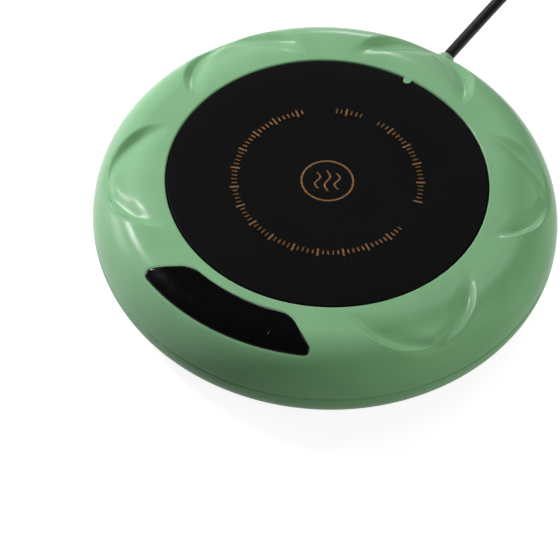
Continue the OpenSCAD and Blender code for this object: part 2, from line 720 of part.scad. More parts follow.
probe_at = [7, 6];
probe_r = 1.2;
module insulation_pad() color(white) difference() {
    bar(film_r, pad_bot, film_bot);
    translate(probe_at) bar(probe_r + slack, pad_bot - 1, film_bot + 1);
    for (x = lead_xs) translate([x, lead_y]) bar(lead_hole_r, pad_bot - 1, film_bot + 1);
}

module backing_plate() color(steel) difference() {
    union() {
        bar(backing_r, backing_bot, pad_bot);
        around(spring_angles, spring_ring_r)
            bar(spring_d / 2 - spring_wire - slack, backing_bot - 1.8, pad_bot);
    }
    translate(probe_at) bar(probe_r + slack, backing_bot - 1, pad_bot + 1);
    for (x = lead_xs) translate([x, lead_y]) bar(lead_hole_r, backing_bot - 1, pad_bot + 1);
    around([90, 210, 330], lug_ring_r) bar(post_hole_r, backing_bot - 1, pad_bot + 1);
}

module backing_screws() color(steel) around([90, 210, 330], lug_ring_r)
    translate([0, 0, backing_bot]) screw(small_r, small_head_r, small_head_h,
        spreader_bot - fit - backing_bot - slack);

module press_pin() color(black) translate([press_x, switch_at[1], 0]) {
    bar(press_r, press_z, backing_bot);
    translate([0, 0, press_z]) sphere(r = press_r);
}

module thermistor() color("saddlebrown") translate(probe_at) {
    bar(probe_r, backing_bot - 1, film_bot);
    translate([0, 0, backing_bot - 1]) sphere(r = probe_r);
}

fuse_at = [-16, 6];
fuse_r = 1.9;
fuse_l = 9;
clip_t = 0.4;
module thermal_fuse() color(steel) translate([fuse_at[0], fuse_at[1], backing_bot - fuse_r])
    rotate([0, 90, 0]) {
        cylinder(r = fuse_r, h = fuse_l, center = true);
        cylinder(r = 0.4, h = fuse_l + 5, center = true);
    }

module fuse_clip() color(steel) translate([fuse_at[0], fuse_at[1], backing_bot - fuse_r]) {
    difference() {
        rotate([0, 90, 0]) cylinder(r = fuse_r + clip_t, h = 4, center = true);
        rotate([0, 90, 0]) cylinder(r = fuse_r, h = 5, center = true);
        translate([0, 0, fuse_r]) cube([6, 3 * fuse_r, 2 * fuse_r], center = true);
    }
    for (s = [-1, 1]) {
        translate([-2, s > 0 ? fuse_r : -fuse_r - clip_t, 0]) cube([4, clip_t, fuse_r]);
        translate([-2, s > 0 ? fuse_r : -fuse_r - 3, fuse_r - clip_t]) cube([4, 3, clip_t]);
    }
}

lead_xs = [-2.25, 2.25];
lead_y = 10;
lead_r = 0.5;
lead_hole_r = lead_r + 0.5;

// Leads from the plate down to their socket, with a loop of slack
module plate_leads() color("firebrick") {
    pin_y = board_front + 4.6 + socket_d / 2;
    pin_z = board_top + 1.7;
    for (x = lead_xs) tube([[x, lead_y, film_bot], [x, lead_y, backing_bot - 3],
        [x * 1.1, lead_y - 2.5, backing_bot - 5.5], [x, lead_y - 1, pin_z + 4.4],
        [x, pin_y - 0.6, pin_z + 2], [x, pin_y, pin_z]], lead_r, 6);
    for (s = [-1, 1]) tube([[probe_at[0] + s * 0.45, probe_at[1], backing_bot - 2.25],
        [probe_at[0] + s * 0.6, probe_at[1] - 0.5, backing_bot - 5],
        [2.5 + s * 0.9, lead_y - 1, pin_z + 7], [s * 0.75, pin_y - 0.6, pin_z + 2],
        [s * 0.75, pin_y, pin_z]], lead_r / 2, 6);
}

// ---- Supply cord ----

cord_r = cord_d / 2;
collar_end_y = body_r + collar_out;
clamp_y = body_r - 14;
clamp_w = 16;
clamp_l = 6;
clamp_t = 3.2;
clamp_gap = 0.3;
jacket_end_y = clamp_y - 7.5;

module cord_collar() color(green) translate([0, 0, collar_z]) rotate([-90, 0, 0])
    rotate_extrude() polygon([[cord_r, neck_in_y - collar_flange_t], [collar_flange_r, neck_in_y
        - collar_flange_t], [collar_flange_r, neck_in_y], [neck_r, neck_in_y], [neck_r, spot_y],
        [collar_r, spot_y], [collar_r - 0.2, wall_out_y + 0.6], [collar_r - 1.1, wall_out_y + 2.4],
        [cord_r + 0.7, collar_end_y - 0.2], [cord_r + 0.5, collar_end_y], [cord_r, collar_end_y]]);

module cord_inner() color(black) translate([0, 0, collar_z]) rotate([-90, 0, 0])
    bar(cord_r, jacket_end_y, collar_end_y);

clamp_hole_x = 5.4;
module cord_cradle() difference() {
    translate([-clamp_w / 2, clamp_y - clamp_l / 2, floor_z - sink])
        cube([clamp_w, clamp_l, collar_z - clamp_gap - floor_z + sink]);
    translate([0, 0, collar_z]) rotate([-90, 0, 0]) bar(cord_r, clamp_y - clamp_l, clamp_y + clamp_l);
    for (s = [-1, 1]) translate([s * clamp_hole_x, clamp_y]) bar(post_hole_r, collar_z - 6, collar_z);
}

module cord_clamp() color(black) difference() {
    translate([-clamp_w / 2, clamp_y - clamp_l / 2, collar_z + clamp_gap])
        cube([clamp_w, clamp_l, clamp_t]);
    translate([0, 0, collar_z]) rotate([-90, 0, 0]) bar(cord_r, clamp_y - clamp_l, clamp_y + clamp_l);
    for (s = [-1, 1]) translate([s * clamp_hole_x, clamp_y]) bar(post_hole_r, collar_z, collar_z + 5);
}

module clamp_screws() color(steel) for (s = [-1, 1])
    translate([s * clamp_hole_x, clamp_y, collar_z + clamp_gap + clamp_t]) rotate([180, 0, 0])
        screw(small_r, small_head_r, small_head_h, 8);

module supply_wires() {
    over = board_top + socket_h;
    pin_y = board_y + board_w / 2 - 1 - socket_d / 2;
    for (s = [-1, 1]) let (x = supply_socket_x + s * 0.75) color(s > 0 ? "firebrick" : black)
        tube([[s * 0.8, jacket_end_y, collar_z], [s * 0.9, jacket_end_y - 3, collar_z],
            [x, (jacket_end_y - 3 + pin_y) / 2, over + 2.4], [x, pin_y + 0.5, over + 0.8],
            [x, pin_y, over - 0.2], [x, pin_y, board_top + 1.6]], 0.55, 6);
}

// The cord's stretch from the collar to the coil, and from the coil to the plug. Y is from the
// collar's end, and the fall is a share of the collar's height above the table.
coil_h = 10.5;
grip_h = 7.8;
coil_at = [22.5, collar_end_y + 86.1];
plug_at = [26, collar_end_y + 123.6, grip_h / 2];
lie_z = cord_r + 0.05;
lead_fall = [[0, 1], [4.1, 0.966], [11.1, 0.903], [18.1, 0.836], [25.1, 0.77], [32.1, 0.696],
    [39.1, 0.602], [46.1, 0.481], [53.1, 0.34], [60.1, 0.198], [67.1, 0.084], [74.1, 0.016], [83.1, 0]];
lead_route = [for (p = lead_fall) [0, collar_end_y + p[0], lie_z + (collar_z - lie_z) * p[1]]];
tail_fall = [[0, 90.1, 1], [0, 96.1, 0.92], [0.5, 102.1, 0.72], [2, 108.1, 0.48], [5, 114.1, 0.24],
    [9.5, 119.1, 0.08], [15, 122.1, 0.02], [21, 123.4, 0], [26, 123.6, 0]];
tail_route = [for (p = tail_fall) [p[0], collar_end_y + p[1],
    plug_at[2] + (coil_h - cord_r - plug_at[2]) * p[2]]];

module power_cord() color(black) {
    tube(lead_route, cord_r);
    tube(tail_route, cord_r, 8, [0, 0, 1]);
}

coil_in_r = 13.75;
coil_out_r = 24.25;
module cord_coil() color(black) translate(coil_at) rotate_extrude() polygon([
    [coil_in_r, 1], [coil_in_r + 1, 0], [coil_out_r - 1, 0], [coil_out_r, 1],
    [coil_out_r, coil_h - 1], [coil_out_r - 1, coil_h], [coil_in_r + 1, coil_h], [coil_in_r, coil_h - 1]]);

// Strap round the bundle of turns
tie_w = 6;
tie_t = 0.8;
module cord_tie() color([0.15, 0.15, 0.16]) translate(coil_at) rotate([0, 0, -60])
    translate([(coil_in_r + coil_out_r) / 2, 0, coil_h / 2]) rotate([90, 0, 0]) difference() {
        translate([0, tie_t / 2]) linear_extrude(tie_w, center = true)
            square([coil_out_r - coil_in_r + 2 * tie_t + 2 * slack, coil_h + tie_t], center = true);
        translate([0, tie_t / 2]) linear_extrude(tie_w + 1, center = true)
            square([coil_out_r - coil_in_r + 2 * slack, coil_h - tie_t], center = true);
    }

boot_l = 9;
grip_l = 21;
grip_w = 15.6;
grip_corner = 2.4;
plug_shell_w = 12;
plug_shell_h = 4.5;
plug_shell_l = 15;
shell_in = 3;
shell_t = 0.3;

module plug_boot() color(black) translate(plug_at) rotate([0, 90, 0]) rotate_extrude()
    polygon([[0, 0], [cord_r + 0.5, 0], [cord_r + 0.7, 0.4], [cord_r + 1.5, boot_l], [0, boot_l]]);

module plug_body() color(black) translate([plug_at[0] + boot_l, plug_at[1], plug_at[2]])
    rotate([0, 90, 0]) difference() {
        linear_extrude(grip_l) rounded(grip_h, grip_w, grip_corner);
        translate([0, 0, grip_l - shell_in]) linear_extrude(shell_in + 1)
            square([plug_shell_h, plug_shell_w], center = true);
    }

module rounded(w, h, r) {
    square([w - 2 * r, h], center = true);
    square([w, h - 2 * r], center = true);
    for (x = [-1, 1]) for (y = [-1, 1]) translate([x * (w / 2 - r), y * (h / 2 - r)]) circle(r = r);
}

plug_face_x = plug_at[0] + boot_l + grip_l;
module plug_shell() color(steel) translate([plug_face_x - shell_in, plug_at[1], plug_at[2]])
    rotate([0, 90, 0]) difference() {
        linear_extrude(plug_shell_l) square([plug_shell_h, plug_shell_w], center = true);
        translate([0, 0, -1]) linear_extrude(plug_shell_l + 2)
            square([plug_shell_h - 2 * shell_t, plug_shell_w - 2 * shell_t], center = true);
        // Two latch windows on each flat side
        for (s = [-1, 1]) translate([0, s * 2.6, plug_shell_l - 6.5])
            cube([plug_shell_h + 2, 2.4, 2.4], center = true);
    }

tongue_w = 11;
tongue_thick = 1.9;
module plug_tongue() color(white) {
    translate([plug_face_x - shell_in, plug_at[1] - tongue_w / 2, plug_at[2] - plug_shell_h / 2 + shell_t])
        cube([plug_shell_l - 1, tongue_w, tongue_thick]);
    translate([plug_face_x - shell_in, plug_at[1] - tongue_w / 2, plug_at[2] - plug_shell_h / 2
        + shell_t + tongue_thick]) cube([shell_in, tongue_w, plug_shell_h - 2 * shell_t - tongue_thick]);
}

module plug_contacts() color("gold") for (y = [-3.5, -1, 1, 3.5])
    translate([plug_face_x + 0.5, plug_at[1] + y - 0.5, plug_at[2] - plug_shell_h / 2 + shell_t
        + tongue_thick]) cube([abs(y) > 2 ? 10 : 9, 1, 0.2]);

upper_shell();
base_cover();
foot_pads();
base_screws();
panel_lens();
panel_tape();
display_board();
digit_module();
touch_spring();
display_screws();
ribbon_cable();
ribbon_sockets();
main_board();
board_screws();
driver_chip();
power_transistor();
capacitors();
buzzer();
wire_sockets();
switch_case();
switch_terminals();
switch_screws();
lever_pin();
switch_lever();
switch_plunger();
switch_wires();
return_springs();
heating_disc();
plate_carrier();
heat_spreader();
heating_film();
insulation_pad();
backing_plate();
backing_screws();
press_pin();
thermistor();
thermal_fuse();
fuse_clip();
plate_leads();
cord_collar();
cord_inner();
cord_clamp();
clamp_screws();
supply_wires();
power_cord();
cord_coil();
cord_tie();
plug_boot();
plug_body();
plug_shell();
plug_tongue();
plug_contacts();
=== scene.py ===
from math import asin, atan, cos, degrees, exp, hypot, pi, radians, sin, sqrt, tan

import bpy
import numpy as np
from mathutils import Matrix, Vector


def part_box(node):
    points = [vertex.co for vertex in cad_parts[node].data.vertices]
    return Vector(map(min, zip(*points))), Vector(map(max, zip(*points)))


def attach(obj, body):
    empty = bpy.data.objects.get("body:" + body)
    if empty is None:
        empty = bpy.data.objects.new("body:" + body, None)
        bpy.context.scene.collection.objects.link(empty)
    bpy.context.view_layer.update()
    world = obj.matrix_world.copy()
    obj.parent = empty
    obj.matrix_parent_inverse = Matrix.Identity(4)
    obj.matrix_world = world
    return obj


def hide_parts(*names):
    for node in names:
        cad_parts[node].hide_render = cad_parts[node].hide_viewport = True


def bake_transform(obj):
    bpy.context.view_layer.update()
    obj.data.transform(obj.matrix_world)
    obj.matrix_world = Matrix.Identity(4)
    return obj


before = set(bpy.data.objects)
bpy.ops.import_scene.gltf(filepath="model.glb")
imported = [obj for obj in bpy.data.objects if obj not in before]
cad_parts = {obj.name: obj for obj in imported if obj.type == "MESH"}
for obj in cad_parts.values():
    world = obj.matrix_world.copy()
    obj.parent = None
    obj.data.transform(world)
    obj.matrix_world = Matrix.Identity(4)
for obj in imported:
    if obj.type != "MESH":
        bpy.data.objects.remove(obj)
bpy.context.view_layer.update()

# Electric mug warmer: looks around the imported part. Metres, Z up, the touch panel
# faces -Y and the supply cord leaves towards +Y.

MM = 0.001


# ---------------------------------------------------------------- sizes

shell_low, shell_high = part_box("upper_shell")
disc_low, disc_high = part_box("heating_disc")
spring_low, spring_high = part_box("return_springs")
collar_low, collar_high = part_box("cord_collar")
tie_low, tie_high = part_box("cord_tie")
grip_low, grip_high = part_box("plug_body")
plug_shell_low, plug_shell_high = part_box("plug_shell")

# Housing: a quarter oval outside the crest, above and below the parting line
body_r = shell_high.x
part_z = shell_low.z
crest_z = shell_high.z
base_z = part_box("base_cover")[0].z
rim_half_w = 12.35 * MM
crest_r = body_r - rim_half_w
upper_h = crest_z - part_z
belly_h = part_z - base_z
wall_t = 2.2 * MM
ceiling_z = crest_z - wall_t
floor_z = base_z + wall_t
slack = 0.3 * MM
# A cutter reaches this far past what it cuts, and a welded part bites this deep
overcut = 1 * MM
bite = 0.5 * MM
# At the parting line the cover stands back from the base, as (how far, height above the line)
parting_line = [(0.04 * MM, 0.9 * MM), (0.1 * MM, 0.35 * MM), (0.22 * MM, 0.08 * MM),
                (0.3 * MM, 0)]
# The base's own edge just below the line, as (how far back, depth below the line)
base_edge = [(0, 0.32 * MM), (0.1 * MM, 0.1 * MM), (0.3 * MM, 0)]
tongue_gap = 0.4 * MM
tongue_t = 1.35 * MM
tongue_h = 2 * MM

# Disc and its opening
disc_r = disc_high.x
opening_r = disc_r + 0.4 * MM
opening_edge = 0.5 * MM
disc_top_z = disc_high.z
disc_bot_z = disc_low.z
disc_edge = 0.35 * MM
flange_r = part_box("plate_carrier")[1].x

# Print: the enamel lies the ink's thickness below the disc's top, and the ink is level with it
ink_t = 0.01 * MM
face_z = disc_top_z - ink_t
print_r = 27.5 * MM
scale_places = 116
long_every = 5
# Open places of the scale, in degrees from +X
scale_gaps = ((352, 14), (88, 97), (116, 136))
sign_r = 7.9 * MM
sign_line = 0.55 * MM
sign_turn = 28

# Return springs of the plate, and the posts that they stand in
spring_ring_r = disc_r - 13.4 * MM
spring_angles = (270, 30, 150)
spring_wire_r = 0.3 * MM
spring_coil_r = 3 * MM
spring_turns = 5
spring_post_r = 5.5 * MM
spring_cup_r = 3.9 * MM

# Key of the cover, which stands in the disc's notch
key_w = 2.4 * MM
key_reach = 2 * MM
key_root = 0.6 * MM
key_in_r = opening_r - key_reach
key_top_z = disc_top_z - 0.02 * MM
notch_gap = 0.3 * MM

# Scoops: round in plan, cut off at their start near the disc
scoop_r = 20.6 * MM
scoop_centre_r = body_r - 22.2 * MM
scoop_start_r = opening_r + 2.7 * MM
# Slope of a scoop's floor at distances outwards from its start: it rolls over, then eases
floor_at = [d * MM for d in (0, 7, 11.5, 14, 24)]
floor_slope = (0, 0.5, 0.22, 0.3, 0.45)
# How much less the floor falls at a scoop's sides than on its centre line
floor_dish = 0.5
scoop_lip = 0.8 * MM
wall_bow = 1.8
# Foot of the wall at a scoop's outer end and at its sides: the groove's depth, place and half
# width, and the wall's own width; and how soon the one goes over into the other
foot_end = [d * MM for d in (1.35, 2.6, 1.35, 1.9)]
foot_side = [d * MM for d in (1.0, 3.5, 2.8, 2.8)]
foot_turn = 1.5

# Touch panel: corner and tip are angles from its middle, in degrees
panel_out_r = body_r - 5.2 * MM
panel_in_r = opening_r + 3.6 * MM
panel_mid_r = 60 * MM
panel_corner = 19.0
panel_tip = 27.4
panel_corner_round = 8 * MM
panel_tip_round = 1.5 * MM
panel_least_round = 0.4 * MM
lens_t = 1.2 * MM
lens_sunk = 0.02 * MM
lens_edge = 0.45 * MM
lens_gap = 0.1 * MM
tape_t = 0.15 * MM
ledge_w = 1.6 * MM
window_depth = 3.2 * MM
# Chamfer round the panel's recess: how wide at the top and how deep
recess_edge_w = 0.65 * MM
recess_edge_h = 0.19 * MM
mark_angle = 14.3
mark_r = 59.6 * MM

# Collar of the cord, in its seat in the back wall
collar_z = (collar_low.z + collar_high.z) / 2
collar_end_y = collar_high.y
collar_r = (collar_high.z - collar_low.z) / 2
collar_neck_r = 3.2 * MM
wall_out_y = crest_r + rim_half_w * sqrt(1 - ((collar_z - part_z) / upper_h) ** 2)
spot_y = wall_out_y - 1.1 * MM
# The cutter of the collar's seat runs from inside the wall to outside it
seat_from_y, seat_to_y = 0.055, 0.08

# Feet, base screws and the cover's bosses
foot_r = 5 * MM
foot_rim = 0.7 * MM
foot_ring_r = body_r - 25 * MM
foot_angles = (45, 135, 225, 315)
foot_well = 1 * MM
screw_ring_r = body_r - 11.5 * MM
screw_angles = (60, 120, 240, 300)
joint_z = part_z + 1.65 * MM
screw_seat_z = joint_z - 9 * MM
boss_bore_r = 1.35 * MM
boss_r = 3.2 * MM
boss_ease = 0.3 * MM
boss_top_z = part_z + 11.2 * MM

cord_r = 1.75 * MM
coil_top_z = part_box("cord_coil")[1].z


# ---------------------------------------------------------------- camera

def look_from(azimuth, elevation, roll, far, aim, aim_px, focal_px, frame_px=560, sensor_mm=36):
    """Camera that sees the point aim at the pixel aim_px, from that side and distance."""
    a, e, r = radians(azimuth), radians(elevation), radians(roll)
    back = Vector((sin(a) * cos(e), -cos(a) * cos(e), sin(e)))
    right = Vector((cos(a), sin(a), 0))
    up = back.cross(right)
    right, up = cos(r) * right + sin(r) * up, cos(r) * up - sin(r) * right
    place = aim + back * far
    turn = atan((aim_px[0] - frame_px / 2) / focal_px)
    back, right = cos(turn) * back + sin(turn) * right, cos(turn) * right - sin(turn) * back
    tip = atan((frame_px / 2 - aim_px[1]) / focal_px)
    back, up = cos(tip) * back + sin(tip) * up, cos(tip) * up - sin(tip) * back
    bpy.ops.object.camera_add()
    camera = bpy.context.object
    camera.name = "view_from_front_right"
    camera.data.sensor_width = sensor_mm
    camera.data.lens = sensor_mm * focal_px / frame_px
    camera.data.clip_start = 0.05
    camera.data.clip_end = 60
    turned_axes = Matrix((right, up, back)).transposed().to_4x4()
    camera.matrix_world = Matrix.Translation(place) @ turned_axes
    bpy.context.scene.camera = camera


look_from(azimuth=28.1, elevation=49.48, roll=3.35, far=1.32, aim=Vector((0, 0, disc_top_z)),
          aim_px=(327.34, 180.74), focal_px=4484.13)


# ---------------------------------------------------------------- bench tools

def only(*objects):
    """Selects just these objects, in object mode; the last one is active."""
    active = bpy.context.view_layer.objects.active
    if active and active.mode != "OBJECT":
        bpy.ops.object.mode_set(mode="OBJECT")
    bpy.ops.object.select_all(action="DESELECT")
    for o in objects:
        o.select_set(True)
    if objects:
        bpy.context.view_layer.objects.active = objects[-1]


def settle(o, name=None):
    """Puts the object's place, turn and size into its mesh."""
    if name:
        o.name = name
        o.data.name = name
    only(o)
    bpy.ops.object.transform_apply(location=True, rotation=True, scale=True)
    return o


def put(o, at=(0, 0, 0), turn=None):
    """Turns a finished piece and takes it to its place."""
    o.matrix_world = Matrix.Translation(at) @ (turn or Matrix())
    return settle(o)


def done():
    bpy.ops.object.mode_set(mode="OBJECT")


def edit_all(o):
    """Opens a piece in edit mode with all of it selected."""
    only(o)
    bpy.ops.object.mode_set(mode="EDIT")
    bpy.ops.mesh.select_all(action="SELECT")


def tidy(o, gap=0.002 * MM):
    """Merges what lies together and turns the faces outwards."""
    edit_all(o)
    bpy.ops.mesh.remove_doubles(threshold=gap)
    bpy.ops.mesh.normals_make_consistent(inside=False)
    done()
    return o


def turned(name, profile, steps=96):
    """Piece turned on a lathe: a profile of (radius, height) points spun round Z."""
    only()
    bpy.ops.mesh.primitive_plane_add(size=MM, location=(profile[0][0], 0, profile[0][1]))
    o = settle(bpy.context.object, name)
    bpy.ops.object.mode_set(mode="EDIT")
    bpy.ops.mesh.select_mode(type="VERT")
    bpy.ops.mesh.select_all(action="SELECT")
    bpy.ops.mesh.merge(type="CENTER")
    for (r0, z0), (r1, z1) in zip(profile, profile[1:]):
        bpy.ops.mesh.extrude_vertices_move(
            TRANSFORM_OT_translate={"value": (r1 - r0, 0, z1 - z0)})
    bpy.ops.mesh.select_all(action="SELECT")
    bpy.ops.mesh.spin(steps=steps, angle=2 * pi, center=(0, 0, 0), axis=(0, 0, 1))
    return tidy(o)


def block(name, low, high):
    """Block between two corners."""
    low, high = Vector(low), Vector(high)
    only()
    bpy.ops.mesh.primitive_cube_add(size=1, location=(low + high) / 2)
    o = bpy.context.object
    o.scale = high - low
    return settle(o, name)


def pick(o, kind, test):
    """Selects the vertices, edges or faces whose middle passes a test, for edit mode."""
    mesh = o.data
    for part in (mesh.vertices, mesh.edges, mesh.polygons):
        part.foreach_set("select", [False] * len(part))
    if kind == "VERT":
        for v in mesh.vertices:
            v.select = test(v.co)
    elif kind == "EDGE":
        for e in mesh.edges:
            a, b = (mesh.vertices[i].co for i in e.vertices)
            e.select = test((a + b) / 2, b - a)
    else:
        for f in mesh.polygons:
            f.select = test(f.center, f.normal)
    only(o)
    bpy.ops.object.mode_set(mode="EDIT")
    bpy.ops.mesh.select_mode(type=kind)


def apply_all(o):
    only(o)
    for m in list(o.modifiers):
        bpy.ops.object.modifier_apply(modifier=m.name)
    return o


def fitted(o, tool, how="DIFFERENCE"):
    """Cuts a tool out of a piece, or welds it on, and takes the tool away."""
    m = o.modifiers.new("fit", "BOOLEAN")
    m.operation = how
    m.object = tool
    m.solver = "MANIFOLD"
    apply_all(o)
    bpy.data.objects.remove(tool)
    return o


def eased(o, width, segments=3, angle=32):
    """Rounds the sharp edges of a piece."""
    m = o.modifiers.new("ease", "BEVEL")
    m.width = width
    m.segments = segments
    m.limit_method = "ANGLE"
    m.angle_limit = radians(angle)
    m.harden_normals = False
    return apply_all(o)


def smooth(o, angle=32):
    """Shades a piece smooth, with an edge wherever it turns by more than the angle."""
    only(o)
    bpy.ops.object.shade_smooth_by_angle(angle=radians(angle))
    return o


def twin(o, name, turn):
    """Copy with a mesh of its own, turned about the part's own axes."""
    copy = o.copy()
    copy.data = o.data.copy()
    copy.name = name
    copy.data.name = name
    bpy.context.collection.objects.link(copy)
    copy.matrix_world = turn
    return settle(copy)


def joined(o, *others):
    only(*others, o)
    bpy.ops.object.join()
    return o


def about_z(angle):
    return Matrix.Rotation(radians(angle), 4, "Z")


def fitted_round(o, tool, angles, how="DIFFERENCE"):
    """Fits a copy of a tool at each angle about Z, and takes the tool away."""
    for a in angles:
        fitted(o, twin(tool, f"{tool.name}_{a}", about_z(a)), how)
    bpy.data.objects.remove(tool)


def ring_of(pattern, angles, names):
    """Copies of a pattern at angles about Z; the pattern itself goes."""
    made = [twin(pattern, name, about_z(a)) for name, a in zip(names, angles)]
    bpy.data.objects.remove(pattern)
    return made


ALONG_Y = Matrix.Rotation(radians(-90), 4, "X")
ALONG_X = Matrix.Rotation(radians(90), 4, "Y")


def arc(cx, cz, r, first, last, count):
    """Points (x, z) on a circle, angles in degrees from +X towards +Z."""
    steps = [radians(first + (last - first) * i / count) for i in range(count + 1)]
    return [(cx + r * cos(t), cz + r * sin(t)) for t in steps]


# ---------------------------------------------------------------- form of the ring

def ring_z(r):
    """Height of the plain ring over a plan radius."""
    if r <= crest_r:
        return crest_z
    return part_z + upper_h * sqrt(max(0.0, 1 - ((r - crest_r) / rim_half_w) ** 2))


drop_at = np.linspace(0, floor_at[-1], 241)
drop_slope = np.interp(drop_at, floor_at, floor_slope)
drop_sum = np.concatenate(([0], np.cumsum((drop_slope[1:] + drop_slope[:-1]) / 2 * drop_at[1])))


def floor_drop(r):
    """Fall of a scoop's floor below the crest, on its centre line."""
    return float(np.interp(r - scoop_start_r, drop_at, drop_sum))


def scoop_depth(r, angle):
    """Depth of a scoop at a plan radius, angle in degrees from the middle of its sector."""
    u = r * cos(radians(angle)) - scoop_centre_r
    v = r * sin(radians(angle))
    edge = scoop_r - hypot(u, v)
    if edge <= 0:
        return 0.0
    # A shallow groove runs along the foot of the wall, so the floor looks like a pillow
    share = min(1.0, foot_turn * abs(v) / max(hypot(u, v), MM))
    depth, place, half_w, wall_w = (a + (b - a) * share for a, b in zip(foot_end, foot_side))
    groove = depth * exp(-((edge - place) / half_w) ** 2)
    groove *= min(1.0, max(0.0, (r - scoop_start_r) / floor_at[1]))
    # The lip rolls over before the wall falls away
    edge = edge * edge / (2 * scoop_lip) if edge < scoop_lip else edge - scoop_lip / 2
    wall = 1.0 if edge >= wall_w else 1 - (1 - edge / wall_w) ** wall_bow
    side = 1 - floor_dish + floor_dish * sqrt(max(0.0, 1 - (v / scoop_r) ** 2))
    floor = max(0.0, ring_z(r) - crest_z + floor_drop(r) * side)
    return wall * (floor + groove)


def sector(x, y):
    """Sector number and angle from its middle; sector 0 holds the touch panel."""
    a = degrees(np.arctan2(y, x)) + 90
    k = round(a / 60)
    return k % 6, a - 60 * k


def panel_outline(grow, steps=24):
    """Half outline of the touch panel as (angle, radius): inner side and outer side, which
    meet at the rounded tip. The sides are laid out flat at the panel's mid radius."""
    flat = lambda f, r: Vector((radians(f) * panel_mid_r, r))
    corner, tip = flat(panel_corner, panel_in_r), flat(panel_tip, panel_out_r)
    run = (tip - corner).normalized()
    # The end edge moves out square to itself, and meets the moved sides there
    side = grow / run.y
    corner += Vector((side, 0)) - run * (grow / run.y)
    tip += Vector((side, 0)) + run * (grow / run.y)
    inner_r, outer_r = panel_in_r - grow, panel_out_r + grow

    def rounded(at, before, after, radius):
        """Arc that rounds the corner between two directions which lead away from it."""
        half = before.angle(after) / 2
        middle = at + (before + after).normalized() * (radius / sin(half))
        first = (at + before * (radius / tan(half)) - middle)
        sweep = first.angle_signed(at + after * (radius / tan(half)) - middle)
        return [middle + Matrix.Rotation(-sweep * i / steps, 2) @ first for i in range(steps + 1)]

    left = Vector((-1, 0))
    inner = [Vector((0, inner_r))]
    inner += rounded(corner, left, run, panel_corner_round + grow)
    outer = [Vector((0, outer_r))]
    outer += rounded(tip, left, -run, max(panel_tip_round + grow, panel_least_round))
    # The tip's arc is shared out at its furthest point
    far = max(range(len(outer)), key=lambda i: outer[i].x)
    inner += outer[:far - 1:-1]
    outer = outer[:far + 1]
    turn = lambda line: [(degrees(p.x / panel_mid_r), p.y) for p in line]
    return turn(inner), turn(outer)


def rim_drop(points, inner, outer, edge_round):
    """How far each point of a slab's top goes down, so that its rim is rounded."""
    rim = np.array([(radians(f) * panel_out_r, r) for f, r in inner + outer[::-1]])
    here = np.array([(radians(abs(f)) * panel_out_r, r) for f, r, _ in points])
    a, b = rim[:-1], rim[1:]
    along = b - a
    size = np.maximum((along ** 2).sum(1), 1e-16)
    t = np.clip(((here[:, None] - a) * along).sum(2) / size, 0, 1)
    near = np.sqrt(((here[:, None] - a - t[..., None] * along) ** 2).sum(2)).min(1)
    inside = np.clip(1 - near / edge_round, 0, 1)
    return edge_round * (1 - np.sqrt(1 - inside ** 2))


def panel_slab(name, top, bottom, edge_round=0.0, columns=150, rows=26):
    """Closed slab over the touch panel that follows the ring. top and bottom are (growth of
    the outline, depth below the ring)."""
    only()
    bpy.ops.mesh.primitive_grid_add(x_subdivisions=columns, y_subdivisions=rows, size=2)
    o = settle(bpy.context.object, name)
    flat = [(v.co.x, v.co.y) for v in o.data.vertices]
    m = o.modifiers.new("thick", "SOLIDIFY")
    m.thickness = MM
    apply_all(o)
    count = len(flat)
    layers = []
    for grow, depth in (top, bottom):
        inner, outer = panel_outline(grow)
        last = inner[-1][0]
        in_f, in_r = zip(*inner)
        out_f, out_r = zip(*outer)
        points = []
        for u, v in flat:
            # Columns gather at the tips and rows at both sides
            f = last * sin(abs(u) * pi / 2)
            share = 0.5 - 0.5 * cos(pi * (v + 1) / 2)
            r0, r1 = np.interp(f, in_f, in_r), np.interp(f, out_f, out_r)
            points.append((f if u >= 0 else -f, r0 + (r1 - r0) * share, depth))
        layers.append((points, inner, outer))
    drop = rim_drop(*layers[0], edge_round) if edge_round else np.zeros(count)
    for layer, (points, _, _) in enumerate(layers):
        for i, (f, r, depth) in enumerate(points):
            low = drop[i] if layer == 0 else 0
            o.data.vertices[i + layer * count].co = (
                r * sin(radians(f)), -r * cos(radians(f)), ring_z(r) - depth - low)
    # The columns meet in one point at each tip
    return tidy(o, 0.004 * MM)


# ---------------------------------------------------------------- upper shell

